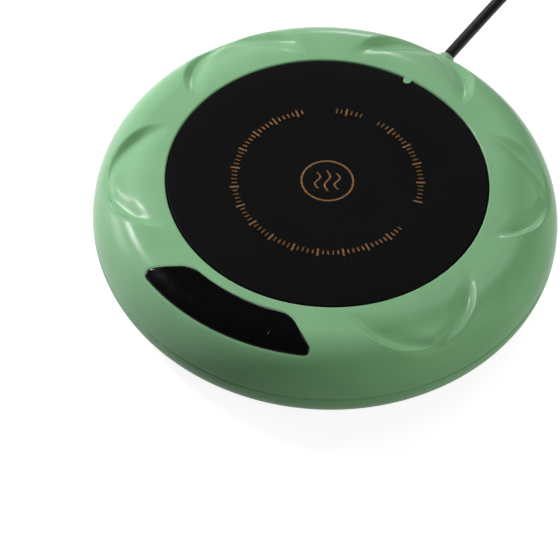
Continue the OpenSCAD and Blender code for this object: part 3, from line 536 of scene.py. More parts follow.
def ring_shell():
    """Ring-shaped cover: turned once, then the five scoops are pressed into it."""
    on_surface = 0.05 * MM
    land, fall, fall_step = 22, 73, 1.2
    outer = [(opening_r, crest_z - opening_edge)]
    outer += arc(opening_r + opening_edge, crest_z - opening_edge, opening_edge, 157.5, 90, 3)
    for i in range(1, land + 1):
        outer.append((opening_r + opening_edge + (crest_r - opening_r - opening_edge) * i / land,
                      crest_z))
    for i in range(1, fall + 1):
        t = radians(i * fall_step)
        outer.append((crest_r + rim_half_w * sin(t), part_z + upper_h * cos(t)))
    outer += [(body_r - back, part_z + up) for back, up in parting_line]
    # Inner face, from the parting line up to the ceiling
    inner = []
    for t in (90, 80, 70, 60, 51, 42, 34, 26, 18, 9, 0):
        t = radians(t)
        inner.append((crest_r + (rim_half_w - wall_t) * sin(t),
                      part_z + (upper_h - wall_t) * cos(t)))
    inner += [(flange_r + slack, ceiling_z), (opening_r, ceiling_z)]
    o = turned("ring_cover", outer + inner + [outer[0]], steps=720)
    for v in o.data.vertices:
        x, y, z = v.co
        r = hypot(x, y)
        number, a = sector(x, y)
        if number == 0 or r < scoop_start_r:
            continue
        if abs(z - ring_z(r)) < on_surface:
            v.co.z = z - scoop_depth(r, a)
        elif z > part_z + MM:
            # The inner face keeps the wall's thickness under a scoop
            lean = (z - part_z) / (upper_h - wall_t)
            v.co.z = z - scoop_depth(r + wall_t / 4, a) * min(1.0, lean)
    return o


def key_block(name, wider, low, high, longer=0.0):
    """The key's own shape: a bar with a round nose towards the disc's middle."""
    nose_y = key_in_r + key_w / 2
    half_w = key_w / 2 + wider
    o = turned(name, [(0, low), (half_w, low), (half_w, high), (0, high)], 48)
    put(o, (0, nose_y, 0))
    bar = block(name + "_bar", (-half_w, nose_y, low), (half_w, opening_r + longer, high))
    return fitted(o, bar, "UNION")


def collar_seat():
    """Cutter of the hole and the spot face that the cord's collar sits in."""
    fit = 0.05 * MM
    o = turned("collar_seat", [
        (0, seat_from_y), (collar_neck_r + fit, seat_from_y), (collar_neck_r + fit, spot_y),
        (collar_r + fit, spot_y), (collar_r + fit, seat_to_y), (0, seat_to_y)], 64)
    return put(o, (0, 0, collar_z), ALONG_Y)


# The panel's cutters start above the ring, so their depth below it is negative there
above = -1.2 * MM
just_above = -0.05 * MM
upper = ring_shell()
fitted(upper, key_block("key", 0, ceiling_z + slack, key_top_z, key_root), "UNION")
fitted(upper, panel_slab("recess", (0, above), (0, lens_t + tape_t)))
fitted(upper, panel_slab("recess_edge", (recess_edge_w, just_above), (0, recess_edge_h)))
fitted(upper, panel_slab("window", (-ledge_w, above), (-ledge_w, window_depth),
                         columns=80, rows=12))
fitted(upper, collar_seat())
# The steep walls of the scoops come out even when each face is split along its short diagonal
split = upper.modifiers.new("split", "TRIANGULATE")
split.quad_method = "SHORTEST_DIAGONAL"
apply_all(upper)
smooth(upper, 24)
upper.name = "ring_cover"

# Blind bosses for the four base screws, welded to the ceiling inside
boss = turned("cover_boss", [
    (boss_bore_r, joint_z), (boss_r - boss_ease, joint_z), (boss_r, joint_z + boss_ease),
    (boss_r, boss_top_z), (boss_bore_r, boss_top_z), (boss_bore_r, joint_z)], 40)
put(boss, (screw_ring_r, 0, 0))
cover_bosses = joined(*ring_of(boss, screw_angles, [f"cover_boss_{a}" for a in screw_angles]))
smooth(cover_bosses)
cover_bosses.name = "cover_bosses"


# ---------------------------------------------------------------- base

def base_tray():
    """Lower shell: a turned tray with a tongue that goes up inside the cover's wall."""
    flat_r = crest_r - 2 * MM
    belly, inside = 41, 14
    outer = [(0, base_z), (flat_r, base_z)]
    for i in range(1, belly):
        t = radians(i * 90 / belly)
        outer.append((crest_r + rim_half_w * sin(t), part_z - belly_h * cos(t)))
    outer += [(body_r - back, part_z - down) for back, down in base_edge]
    tongue_out = body_r - wall_t - tongue_gap
    tongue_in = tongue_out - tongue_t
    tongue_top = part_z + tongue_h
    outer += [(tongue_out, part_z), (tongue_out, tongue_top), (tongue_in, tongue_top)]
    w, h = rim_half_w - wall_t, belly_h - wall_t
    top = asin((tongue_in - crest_r) / w)
    for i in range(inside + 1):
        t = top * (inside - i) / inside
        outer.append((crest_r + w * sin(t), part_z - h * cos(t)))
    outer.append((0, floor_z))
    return turned("base_tray", outer, steps=256)


def add_posts(o):
    """Posts on the base's floor for the screws, the springs and the two boards."""
    screw_post_r, board_post_r = 4 * MM, 2.6 * MM
    low = base_z + bite
    post = turned("post", [(0, low), (screw_post_r, low), (screw_post_r, joint_z),
                           (0, joint_z)], 40)
    fitted_round(o, put(post, (screw_ring_r, 0, 0)), screw_angles, "UNION")

    low = floor_z - bite
    stop_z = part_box("backing_plate")[0].z + 0.75 * MM
    cup_z = spring_low.z - 0.04 * MM
    post = turned("spring_post", [
        (0, low), (spring_post_r, low), (spring_post_r, stop_z), (spring_cup_r, stop_z),
        (spring_cup_r, cup_z), (0, cup_z)], 40)
    fitted_round(o, put(post, (spring_ring_r, 0, 0)), spring_angles, "UNION")

    bore_r, bore_deep, corner_in = 1.05 * MM, 2 * MM, 3.5 * MM
    board_low, board_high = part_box("main_board")
    display_low, display_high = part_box("display_board")
    mid_y = (board_low.y + board_high.y) / 2
    corner = Vector(((board_high.x - board_low.x) / 2 - corner_in,
                     (board_high.y - board_low.y) / 2 - corner_in))
    places = [(sx * corner.x, mid_y + sy * corner.y, board_low.z)
              for sx in (-1, 1) for sy in (-1, 1)]
    display_y = (display_low.y + display_high.y) / 2 + 0.3 * MM
    places += [(s * (display_high.x - board_post_r), display_y, display_low.z)
               for s in (-1, 1)]
    for i, (x, y, z) in enumerate(places):
        post = turned(f"board_post_{i}", [
            (0, low), (board_post_r, low), (board_post_r, z), (bore_r, z),
            (bore_r, z - bore_deep), (0, z - bore_deep)], 32)
        fitted(o, put(post, (x, y, 0)), "UNION")


def add_holders(o):
    """Bracket behind the switch, with a door for its wires, and the cradle of the cord."""
    bracket_t, bracket_h = 2.4 * MM, 5.4 * MM
    door_in, door_h = 2 * MM, 3 * MM
    case_low, case_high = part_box("switch_case")
    bracket = block("switch_bracket", (case_low.x, case_high.y, floor_z - bite),
                    (case_high.x, case_high.y + bracket_t, case_low.z + bracket_h))
    door = block("door", (case_low.x + door_in, case_high.y - overcut, floor_z - overcut),
                 (case_high.x - door_in, case_high.y + 4 * MM, floor_z + door_h))
    fitted(bracket, door)
    fitted(o, bracket, "UNION")
    clamp_low, clamp_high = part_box("cord_clamp")
    cradle = block("cradle", (clamp_low.x, clamp_low.y, floor_z - bite),
                   (clamp_high.x, clamp_high.y, clamp_low.z - 2 * slack))
    groove_l = 20 * MM
    groove = turned("groove", [(0, 0), (cord_r, 0), (cord_r, groove_l), (0, groove_l)], 40)
    fitted(cradle, put(groove, (0, clamp_low.y - 5 * MM, collar_z), ALONG_Y))
    fitted(o, cradle, "UNION")


def cut_underside(o):
    """Counterbores, wells for the feet and two rows of slots, with eased mouths."""
    ease = 0.35 * MM
    head_r, shank_r = 2.75 * MM, 1.55 * MM
    bore = turned("counterbore", [
        (0, base_z - overcut), (head_r + ease + overcut, base_z - overcut),
        (head_r, base_z + ease), (head_r, screw_seat_z), (shank_r, screw_seat_z),
        (shank_r, joint_z + overcut), (0, joint_z + overcut)], 48)
    fitted_round(o, put(bore, (screw_ring_r, 0, 0)), screw_angles)
    well_r = foot_r + 0.1 * MM
    well = turned("foot_well", [
        (0, base_z - overcut), (well_r + ease + overcut, base_z - overcut),
        (well_r, base_z + ease), (well_r, base_z + foot_well), (0, base_z + foot_well)], 72)
    fitted_round(o, put(well, (foot_ring_r, 0, 0)), foot_angles)

    half_w, half_l, pitch, row_x, row_y, per_row = 1 * MM, 7 * MM, 5 * MM, 24 * MM, -12 * MM, 4
    slot = block("vent", (-half_w, -half_l, base_z - overcut), (half_w, half_l, floor_z + overcut))
    pick(slot, "EDGE", lambda p, along: abs(along.z) > MM)
    bpy.ops.mesh.bevel(offset=0.95 * MM, segments=6)
    done()
    for side in (-1, 1):
        for i in range(per_row):
            at = (side * row_x + (i - (per_row - 1) / 2) * pitch, row_y, 0)
            fitted(o, twin(slot, f"vent_{side}_{i}", Matrix.Translation(at)))
    bpy.data.objects.remove(slot)


def cut_collar_room(o):
    """Seat of the collar in the base's wall, and room for its flange inside."""
    fitted(o, collar_seat())
    flange_out_r, from_y, to_y = 4.3 * MM, 0.05, collar_low.y + 1.8 * MM
    room = turned("flange_room", [(0, from_y), (flange_out_r, from_y), (flange_out_r, to_y),
                                  (0, to_y)], 48)
    fitted(o, put(room, (0, 0, collar_z), ALONG_Y))


base = base_tray()
add_posts(base)
add_holders(base)
cut_underside(base)
cut_collar_room(base)
smooth(base, 30)


# ---------------------------------------------------------------- feet and base screws

def rubber_foot():
    """Soft foot with a rounded rim and a shallow dish in its sole."""
    top = base_z + foot_well
    dish = ((0, 0.18), (2.6, 0.1), (3.9, 0))
    profile = [(r * MM, z * MM) for r, z in dish]
    profile += arc(foot_r - foot_rim, foot_rim, foot_rim, 270, 360, 5)
    profile += [(foot_r, top), (0, top)]
    return put(turned("foot", profile, 64), (foot_ring_r, 0, 0))


feet = ring_of(rubber_foot(), foot_angles, [f"foot_{i}" for i in range(len(foot_angles))])
for foot in feet:
    smooth(foot)

# Head of a screw and one turn of its thread, as shares of radius and of height or pitch
head_form = ((0, 1), (0.45, 0.985), (0.72, 0.88), (0.92, 0.62), (1, 0.3), (1, 0))
root = 0.78
thread_form = ((root, 0), (root, 0.35), (1, 0.55), (root, 0.75))


def pan_screw(name, shank_r, head_r, head_h, length):
    """Pan-head screw with a cross recess: head below Z = 0, pointed shank above."""
    pitch, plain, point = 1.05 * MM, 0.3 * MM, 0.9 * MM
    profile = [(head_r * r, -head_h * z) for r, z in head_form] + [(shank_r, 0)]
    for i in range(int((length - plain - point) / pitch)):
        profile += [(shank_r * r, plain + i * pitch + pitch * up) for r, up in thread_form]
    profile += [(shank_r * root, length - point), (0, length)]
    o = turned(name, profile, 32)
    for a in (0, 90):
        arm = block(f"{name}_arm_{a}", (-head_r * 0.6, -head_h * 0.13, -head_h - overcut),
                    (head_r * 0.6, head_h * 0.13, -head_h * 0.35))
        # The recess narrows as it goes down
        pick(arm, "FACE", lambda at, normal: normal.z > 0.9)
        bpy.ops.transform.resize(value=(0.55, 0.7, 1), center_override=(0, 0, 0))
        done()
        fitted(o, put(arm, turn=about_z(a)))
    return o


base_screw = put(pan_screw("base_screw", 1.3 * MM, 2.4 * MM, 1.6 * MM, 15 * MM),
                 (screw_ring_r, 0, screw_seat_z))
base_screws = ring_of(base_screw, screw_angles,
                      [f"base_screw_{i}" for i in range(len(screw_angles))])
for screw in base_screws:
    smooth(screw)


# ---------------------------------------------------------------- heating disc

def hot_disc():
    """Disc with a small rounded edge, a broken lower edge and the notch for the key."""
    broken = 0.2 * MM
    profile = [(0, disc_bot_z), (disc_r - broken, disc_bot_z), (disc_r, disc_bot_z + broken)]
    profile += arc(disc_r - disc_edge, face_z - disc_edge, disc_edge, 0, 90, 5)
    profile += [(disc_r * i / 6, face_z) for i in range(5, -1, -1)]
    o = turned("hot_disc", profile, 360)
    fitted(o, key_block("notch", notch_gap, disc_bot_z - overcut, disc_top_z + overcut, overcut))
    return smooth(o, 40)


disc = hot_disc()


def stroke(name, w, h):
    """One printed stroke, its short ends rounded."""
    o = block(name, (-w / 2, -h / 2, 0), (w / 2, h / 2, ink_t))
    pick(o, "EDGE", lambda at, along: abs(along.z) > ink_t / 2)
    bpy.ops.mesh.bevel(offset=w * 0.42, segments=2)
    done()
    return o


def printed_scale():
    """Ring of short strokes, a longer one at every fifth place, left open at three places."""
    short = stroke("short_stroke", 0.5 * MM, 1.7 * MM)
    tall = stroke("tall_stroke", 0.55 * MM, 2.8 * MM)
    made = []
    for i in range(scale_places):
        a = i * 360 / scale_places
        if any((a - g0) % 360 < (g1 - g0) % 360 for g0, g1 in scale_gaps):
            continue
        turn = about_z(a) @ Matrix.Translation((print_r, 0, face_z)) @ about_z(90)
        made.append(twin(short if i % long_every else tall, f"stroke_{i}", turn))
    for o in (short, tall):
        bpy.data.objects.remove(o)
    o = joined(*made)
    o.name = "printed_scale"
    return o


def printed_sign():
    """Thin circle round three wavy steam lines, the middle one longer."""
    half_long, half_short, apart, sway, bends = 3.9 * MM, 3.1 * MM, 2.9 * MM, 0.75 * MM, 1.15
    ink_z = face_z + ink_t
    o = turned("printed_sign", [(sign_r - sign_line, face_z), (sign_r, face_z), (sign_r, ink_z),
                                (sign_r - sign_line, ink_z), (sign_r - sign_line, face_z)], 96)
    waves = []
    for k in (-1, 0, 1):
        half = half_short if k else half_long
        only()
        bpy.ops.mesh.primitive_grid_add(x_subdivisions=2, y_subdivisions=28, size=2)
        wave = settle(bpy.context.object, f"steam_{k}")
        for v in wave.data.vertices:
            t = v.co.y
            v.co = (v.co.x * sign_line / 2 + k * apart + sway * sin(t * pi * bends),
                    t * half, ink_z)
        edit_all(wave)
        bpy.ops.mesh.extrude_region_move(TRANSFORM_OT_translate={"value": (0, 0, -ink_t)})
        done()
        waves.append(tidy(wave))
    return joined(*waves, o)


scale = printed_scale()
sign = put(printed_sign(), turn=about_z(sign_turn))


# ---------------------------------------------------------------- touch panel

lens = panel_slab("touch_lens", (-lens_gap, lens_sunk), (-lens_gap, lens_t), lens_edge,
                  columns=170, rows=34)
smooth(lens, 50)


def touch_mark():
    """Small thin stroke printed on the lens where a finger goes, leaning as the ring does."""
    o = stroke("touch_mark", 0.3 * MM, 1.8 * MM)
    slope = atan((ring_z(mark_r - 0.5 * MM) - ring_z(mark_r + 0.5 * MM)) / MM)
    turn = (about_z(-90 + mark_angle) @ Matrix.Translation((mark_r, 0, ring_z(mark_r)))
            @ Matrix.Rotation(slope, 4, "Y") @ about_z(90 - mark_angle))
    return put(o, turn=turn)


mark = touch_mark()


# ---------------------------------------------------------------- cord, collar and plug

def collar():
    """Moulded collar: a cone that grows out of the shell and ends in a small rolled lip."""
    flange_w, flange_t, lip_r = 4 * MM, 1.5 * MM, 0.3 * MM
    inside_y = collar_low.y
    end_y = collar_end_y - 1.2 * MM
    profile = [(cord_r, inside_y), (flange_w, inside_y), (flange_w, inside_y + flange_t),
               (collar_neck_r, inside_y + flange_t), (collar_neck_r, spot_y), (collar_r, spot_y),
               (collar_r, wall_out_y - 0.1 * MM), (collar_r - 0.15 * MM, wall_out_y + 0.4 * MM)]
    # Cone: radius and distance from the wall
    profile += [(r * MM, wall_out_y + y * MM)
                for r, y in ((3.95, 0.9), (3.55, 1.5), (3.15, 2.2), (2.8, 2.9))]
    profile += [(2.6 * MM, end_y - 0.4 * MM)]
    profile += arc(2.28 * MM, end_y - lip_r, lip_r, 0, 90, 4)
    profile += [(cord_r + 0.12 * MM, end_y), (cord_r, end_y - 0.15 * MM), (cord_r, inside_y)]
    o = turned("cord_sleeve", profile, 72)
    return smooth(put(o, (0, 0, collar_z), ALONG_Y), 40)


sleeve = collar()

coil_at = Vector((22.5 * MM, collar_end_y + 86.1 * MM))
plug_at = Vector((26 * MM, collar_end_y + 123.6 * MM, (grip_high.z - grip_low.z) / 2))
lie_z = cord_r + 0.05 * MM
# Way down to the table: Y from the collar's end in mm, and the height left as a share
lead_fall = [(0, 1), (4.1, 0.966), (11.1, 0.903), (18.1, 0.836), (25.1, 0.77), (32.1, 0.696),
             (39.1, 0.602), (46.1, 0.481), (53.1, 0.34), (60.1, 0.198), (67.1, 0.084),
             (74.1, 0.016), (83.1, 0)]
# Way from the coil to the plug: X, Y and the height left
tail_fall = [(0, 90.1, 1), (0, 96.1, 0.92), (0.5, 102.1, 0.72), (2, 108.1, 0.48),
             (5, 114.1, 0.24), (9.5, 119.1, 0.08), (15, 122.1, 0.02), (21, 123.4, 0),
             (26, 123.6, 0)]
# Place of each turn of the coil: radius in mm and layer. A turn slips into the next place
# while it sweeps slip_span degrees, a little later in each turn
turn_slots = [(22.5, 0), (19, 0), (15.5, 0), (15.5, 1), (15.5, 2), (19, 2), (19, 1), (22.5, 1),
              (22.5, 2)]
turns = len(turn_slots)
points_per_turn = 24
first_slip, slip_every, slip_span = 335, 367.5, 60


def cord_route():
    """Points of the whole cord: down to the table, nine turns, and on to the plug."""
    top_z = coil_top_z - cord_r
    points = [Vector((0, collar_end_y + y * MM, lie_z + (collar_z - lie_z) * fall))
              for y, fall in lead_fall]
    level = (top_z - lie_z) / 2
    for i in range(1, turns * points_per_turn):
        swept = 360 * i / points_per_turn
        r, z = turn_slots[0]
        for k in range(1, turns):
            late = swept - (first_slip + (k - 1) * slip_every) + slip_span / 2
            t = min(1.0, max(0.0, late / slip_span))
            move = t * t * (3 - 2 * t)
            r += move * (turn_slots[k][0] - turn_slots[k - 1][0])
            z += move * (turn_slots[k][1] - turn_slots[k - 1][1])
        a = radians(180 - swept)
        points.append(Vector((coil_at.x + r * MM * cos(a), coil_at.y + r * MM * sin(a),
                              lie_z + level * z)))
    points += [Vector((x * MM, collar_end_y + y * MM, plug_at.z + (top_z - plug_at.z) * fall))
               for x, y, fall in tail_fall]
    return points


def smooth_line(points, per_span):
    """Points on one smooth curve through the given ones."""
    line = []
    last = len(points) - 1
    for i in range(last):
        a, b, c, d = points[max(i - 1, 0)], points[i], points[i + 1], points[min(i + 2, last)]
        for k in range(per_span):
            t = k / per_span
            line.append(0.5 * (2 * b + (c - a) * t + (2 * a - 5 * b + 4 * c - d) * t ** 2
                               + (3 * b - a - 3 * c + d) * t ** 3))
    return line + [points[-1]]


def supply_cord():
    """The cord as one open curve with a round section, and its length."""
    route = smooth_line(cord_route(), 3)
    curve = bpy.data.curves.new("supply_cord", "CURVE")
    curve.dimensions = "3D"
    curve.bevel_depth = cord_r
    curve.bevel_resolution = 8
    curve.use_fill_caps = True
    curve.twist_mode = "MINIMUM"
    line = curve.splines.new("POLY")
    line.points.add(len(route) - 1)
    for p, at in zip(line.points, route):
        p.co = (*at, 1)
    line.use_smooth = True
    o = bpy.data.objects.new("supply_cord", curve)
    bpy.context.collection.objects.link(o)
    length = sum((b - a).length for a, b in zip(route, route[1:]))
    return o, length


cord, cord_length = supply_cord()


def strap():
    """Hook-and-loop strap round the coil's turns, one end lapped over the other."""
    radii = [r for r, _ in turn_slots]
    middle = (min(radii) + max(radii)) / 2 * MM
    thick = 0.5 * MM
    # The outer face lies on the table and just over the top of the turns
    reach = (tie_high.z - tie_low.z) / 2
    half_w, rows = 3 * MM, 4
    corner, steps = 2.3 * MM, 6
    outline = []
    for cx, cz, start in ((1, 1, 0), (-1, 1, 90), (-1, -1, 180), (1, -1, 270)):
        for i in range(steps + 1):
            t = radians(start + 90 * i / steps)
            outline.append(Vector((cx * (reach - corner) + corner * cos(t),
                                   cz * (reach - corner) + corner * sin(t))))
    only()
    bpy.ops.mesh.primitive_circle_add(vertices=len(outline), radius=MM, fill_type="NOTHING")
    o = settle(bpy.context.object, "cord_strap")
    for v, p in zip(o.data.vertices, outline):
        v.co = (p.x, -half_w, p.y)
    edit_all(o)
    for _ in range(rows):
        bpy.ops.mesh.extrude_region_move(
            TRANSFORM_OT_translate={"value": (0, 2 * half_w / rows, 0)})
    bpy.ops.mesh.select_all(action="SELECT")
    bpy.ops.mesh.normals_make_consistent(inside=False)
    done()
    m = o.modifiers.new("thick", "SOLIDIFY")
    m.thickness = thick
    m.offset = -1
    apply_all(o)
    # Lapped end on the outer side of the bundle
    tab_from, tab_to = -3.4 * MM, 2.6 * MM
    tab = block("strap_tab", (reach - 0.02 * MM, -half_w, tab_from),
                (reach + thick * 0.95, half_w, tab_to))
    pick(tab, "EDGE", lambda at, along: abs(along.x) > 0.3 * MM)
    bpy.ops.mesh.bevel(offset=0.9 * MM, segments=4)
    done()
    joined(o, tab)
    eased(o, 0.1 * MM, 2)
    put(o, (middle, 0, 0))
    turn = Matrix.Translation((coil_at.x, coil_at.y, tie_low.z + reach)) @ about_z(-60)
    return smooth(put(o, turn=turn))


tie = strap()


def plug_boot():
    """Boot of the cord: ribs that grow towards the plug, with grooves between them."""
    boot_l = grip_low.x - plug_at.x
    ribs, first_rib, pitch, growth = 5, 0.9 * MM, 1.5 * MM, 0.17
    groove = 0.32 * MM
    profile = [(cord_r, 0), (cord_r + 0.45 * MM, 0), (cord_r + 0.6 * MM, 0.3 * MM)]
    for i in range(ribs):
        a = first_rib + i * pitch
        r = cord_r + (0.6 + growth * i) * MM
        profile += [(r, a), (r - groove, a + 0.25 * MM), (r - groove, a + 0.6 * MM),
                    (r + 0.06 * MM, a + 0.85 * MM)]
    profile += [(cord_r + 1.45 * MM, boot_l), (cord_r, boot_l + 0.5 * MM), (cord_r, 0)]
    return smooth(put(turned("plug_relief", profile, 56), plug_at, ALONG_X), 40)


def finger_grip():
    """Overmoulded grip: soft corners, a slight waist, and finger grooves on both faces."""
    length = grip_high.x - grip_low.x
    grooves, first_groove, pitch, groove_w, groove_half_l = 5, 6.4, 1.7, 0.7 * MM, 3.4 * MM
    groove_from, groove_to = 3.7 * MM, 4.4 * MM
    o = block("plug_grip", grip_low, grip_high)
    pick(o, "EDGE", lambda at, along: abs(along.x) > MM)
    bpy.ops.mesh.bevel(offset=2.3 * MM, segments=8)
    done()
    for share in (0.12, 0.3, 0.45, 0.6, 0.8, 0.92):
        pick(o, "FACE", lambda c, n: True)
        bpy.ops.mesh.bisect(plane_co=(grip_low.x + length * share, 0, 0), plane_no=(1, 0, 0))
        done()
    for v in o.data.vertices:
        t = (v.co.x - grip_low.x) / length
        waist = 1 - 0.06 * sin(pi * min(1, max(0, t))) ** 2
        v.co.y = plug_at.y + (v.co.y - plug_at.y) * waist
    eased(o, 0.5 * MM, 3, 50)
    for side in (-1, 1):
        for i in range(grooves):
            at = grip_low.x + (first_groove + i * pitch) * MM
            cutter = block(
                f"rib_{side}_{i}",
                (at, plug_at.y - groove_half_l, plug_at.z + side * groove_from),
                (at + groove_w, plug_at.y + groove_half_l, plug_at.z + side * groove_to))
            fitted(o, cutter)
    fit = Vector((0, 0.02 * MM, 0.02 * MM))
    mouth_from = Vector((grip_high.x - 3 * MM, plug_shell_low.y, plug_shell_low.z))
    mouth_to = Vector((grip_high.x + overcut, plug_shell_high.y, plug_shell_high.z))
    fitted(o, block("mouth", mouth_from - fit, mouth_to + fit))
    return smooth(o, 35)


def steel_sleeve():
    """Folded shell of the plug: thin walls, rounded corners and two pairs of windows."""
    o = block("plug_sleeve", plug_shell_low, plug_shell_high)
    pick(o, "EDGE", lambda at, along: abs(along.x) > MM)
    bpy.ops.mesh.bevel(offset=0.5 * MM, segments=5)
    done()
    wall = 0.3 * MM
    inwards = Vector((-overcut, wall, wall))
    fitted(o, block("core", plug_shell_low + inwards, plug_shell_high - inwards))
    window_y, window_half, window_from, window_to = 2.6, 1.2, 7.7 * MM, 5.3 * MM
    for dy in (-window_y, window_y):
        window = block("window",
                       (plug_shell_high.x - window_from, plug_at.y + (dy - window_half) * MM,
                        plug_at.z - 4 * MM),
                       (plug_shell_high.x - window_to, plug_at.y + (dy + window_half) * MM,
                        plug_at.z + 4 * MM))
        fitted(o, window)
    eased(o, 0.06 * MM, 2, 50)
    return smooth(o, 35)


plug_relief, plug_grip, plug_sleeve = plug_boot(), finger_grip(), steel_sleeve()


# ---------------------------------------------------------------- springs and leads of the plate

def return_spring():
    """Open coil spring: a ring of wire section, screwed upwards."""
    wire_sides, steps_per_turn = 10, 28
    only()
    bpy.ops.mesh.primitive_circle_add(
        vertices=wire_sides, radius=spring_wire_r, rotation=(radians(90), 0, 0),
        location=(spring_coil_r, 0, spring_low.z + spring_wire_r))
    o = settle(bpy.context.object)
    coil = o.modifiers.new("coil", "SCREW")
    coil.axis = "Z"
    coil.angle = 2 * pi
    coil.steps = coil.render_steps = steps_per_turn
    coil.iterations = spring_turns
    coil.screw_offset = (spring_high.z - spring_low.z - 2 * spring_wire_r) / spring_turns
    edit_all(apply_all(o))
    bpy.ops.mesh.remove_doubles(threshold=0.001 * MM)
    bpy.ops.mesh.fill_holes(sides=0)
    bpy.ops.mesh.normals_make_consistent(inside=False)
    done()
    return put(smooth(o, 50), (spring_ring_r, 0, 0))


def soft_wire(name, points, r):
    """Run of thin round wire along the given points, in mm."""
    only()
    bpy.ops.curve.primitive_nurbs_path_add()
    o = bpy.context.object
    o.name = name
    line = o.data.splines[0]
    line.points.add(len(points) - len(line.points))
    for p, place in zip(line.points, points):
        p.co = (*(v * MM for v in place), 1)
    line.order_u = 3
    line.use_endpoint_u = True
    o.data.resolution_u = 5
    o.data.bevel_depth = r
    o.data.bevel_resolution = 2
    o.data.use_fill_caps = True
    bpy.ops.object.convert(target="MESH")
    return o


springs = ring_of(return_spring(), spring_angles, [f"return_spring_{a}" for a in spring_angles])

# The heater's two leads and the probe's pair: down from the plate and into their sockets.
# They bend between the sockets' tops and the plate; the points are in mm
wires_bend_z = (12.3 * MM, 20.9 * MM)
heater_wire_r = 0.5 * MM
probe_wire_r = 0.25 * MM
socket_y, socket_top, socket_in_y, socket_in = 15.7, 12.25, 16.3, 10.25
leads = [soft_wire("heater_lead", [
    (x, 10, 26.2), (x, 10, 20.9), (1.1 * x, 7.5, 18.4), (x, 9, 14.65),
    (x, socket_y, socket_top), (x, socket_in_y, socket_in)], heater_wire_r)
    for x in (-2.25, 2.25)]
leads += [soft_wire("probe_lead", [
    (7 + 0.45 * s, 6, 21.65), (7 + 0.6 * s, 5.5, 18.9), (2.5 + 0.9 * s, 9, 17.25),
    (0.75 * s, socket_y, socket_top), (0.75 * s, socket_in_y, socket_in)], probe_wire_r)
    for s in (-1, 1)]
leads = joined(*leads)
leads.name = leads.data.name = "plate_wires"


# ---------------------------------------------------------------- finishes

def linear(colour):
    """sRGB hex colour as the linear values that a shader takes."""
    part = [int(colour[i:i + 2], 16) / 255 for i in (1, 3, 5)]
    return (*[c / 12.92 if c <= 0.04045 else ((c + 0.055) / 1.055) ** 2.4 for c in part], 1)


def add(m, kind, sockets=None, **settings):
    """Adds one node to a material; a socket takes a value or another node's output."""
    n = m.node_tree.nodes.new(kind)
    for key, value in settings.items():
        setattr(n, key, value)
    for key, value in (sockets or {}).items():
        if isinstance(value, bpy.types.NodeSocket):
            m.node_tree.links.new(value, n.inputs[key])
        else:
            n.inputs[key].default_value = value
    return n


def bare(name):
    """New material with nothing in it yet, and the place on the piece that patterns use."""
    m = bpy.data.materials.new(name)
    m.use_nodes = True
    m.node_tree.nodes.clear()
    return m, add(m, "ShaderNodeTexCoord").outputs["Object"]


def finished(m, height, depth, sockets):
    """Gives a material its relief, its shader and its output."""
    relief = add(m, "ShaderNodeBump", {"Height": height, "Distance": depth}).outputs[0]
    coat = add(m, "ShaderNodeBsdfPrincipled", {"Normal": relief, **sockets})
    add(m, "ShaderNodeOutputMaterial", {"Surface": coat.outputs[0]})
    return m


def grained(name, colour, other, rough, grit, depth, shader, cloud=14 * MM, spread=0.03,
            along=(1, 1, 1)):
    """Finish of two close colours in soft clouds, with a grain in its gloss and its relief.

    grit and cloud are the widths of grain and clouds, depth is the height of the grain and
    along stretches it; shader holds the shader's own constants.
    """
    m, place = bare(name)
    drawn = add(m, "ShaderNodeMapping", {"Vector": place, "Scale": along}).outputs[0]
    fine = add(m, "ShaderNodeTexNoise", {"Vector": drawn, "Scale": 1 / grit}).outputs["Fac"]
    broad = add(m, "ShaderNodeTexNoise",
                {"Vector": place, "Scale": 1 / cloud, "Detail": 1.0}).outputs["Fac"]
    share = add(m, "ShaderNodeMapRange", {0: broad, 1: 0.35, 2: 0.65, 3: 0.0, 4: 1.0}).outputs[0]
    mixed = add(m, "ShaderNodeMix", {0: share, 6: linear(colour), 7: linear(other)},
                data_type="RGBA").outputs[2]
    gloss = add(m, "ShaderNodeMapRange",
                {0: fine, 1: 0.35, 2: 0.65, 3: rough - spread, 4: rough + spread}).outputs[0]
    return finished(m, fine, depth, {"Base Color": mixed, "Roughness": gloss, **shader})


# Sage ABS of the cover: satin from a fine spark-eroded tool, so a lamp gives one soft streak
shell_abs = grained(
    "sage_abs_satin", "#7EAF82", "#7AAB7E", rough=0.24, grit=0.28 * MM, depth=0.003 * MM,
    shader={"IOR": 1.54, "Specular IOR Level": 0.08})

# The same ABS underneath, from a coarser tool: a little duller
base_abs = grained(
    "sage_abs_matt", "#7AAB7E", "#76A77A", rough=0.42, grit=0.4 * MM, depth=0.008 * MM,
    shader={"IOR": 1.54, "Specular IOR Level": 0.08})

# Black acrylic lens, polished: a clean dark mirror
lens_acrylic = grained(
    "black_acrylic_polished", "#050506", "#060607", rough=0.16, grit=3 * MM, depth=0.0002 * MM,
    spread=0.02, shader={"IOR": 1.49, "Specular IOR Level": 0.3})

# Black enamel of the disc: dead matt with a fine orange-peel grain
disc_enamel = grained(
    "black_enamel_matt", "#0A0A0A", "#08080A", rough=0.55, grit=0.35 * MM, depth=0.006 * MM,
    cloud=20 * MM, spread=0.05, shader={"IOR": 1.5, "Specular IOR Level": 0.05})

# Fired gold-brown ink on the disc: thin, so it looks a little uneven
gold_ink = grained(
    "gold_brown_ceramic_ink", "#8A6236", "#664A28", rough=0.52, grit=0.3 * MM, depth=0.002 * MM,
    cloud=0.5 * MM, spread=0.08, shader={"IOR": 1.5, "Specular IOR Level": 0.3})

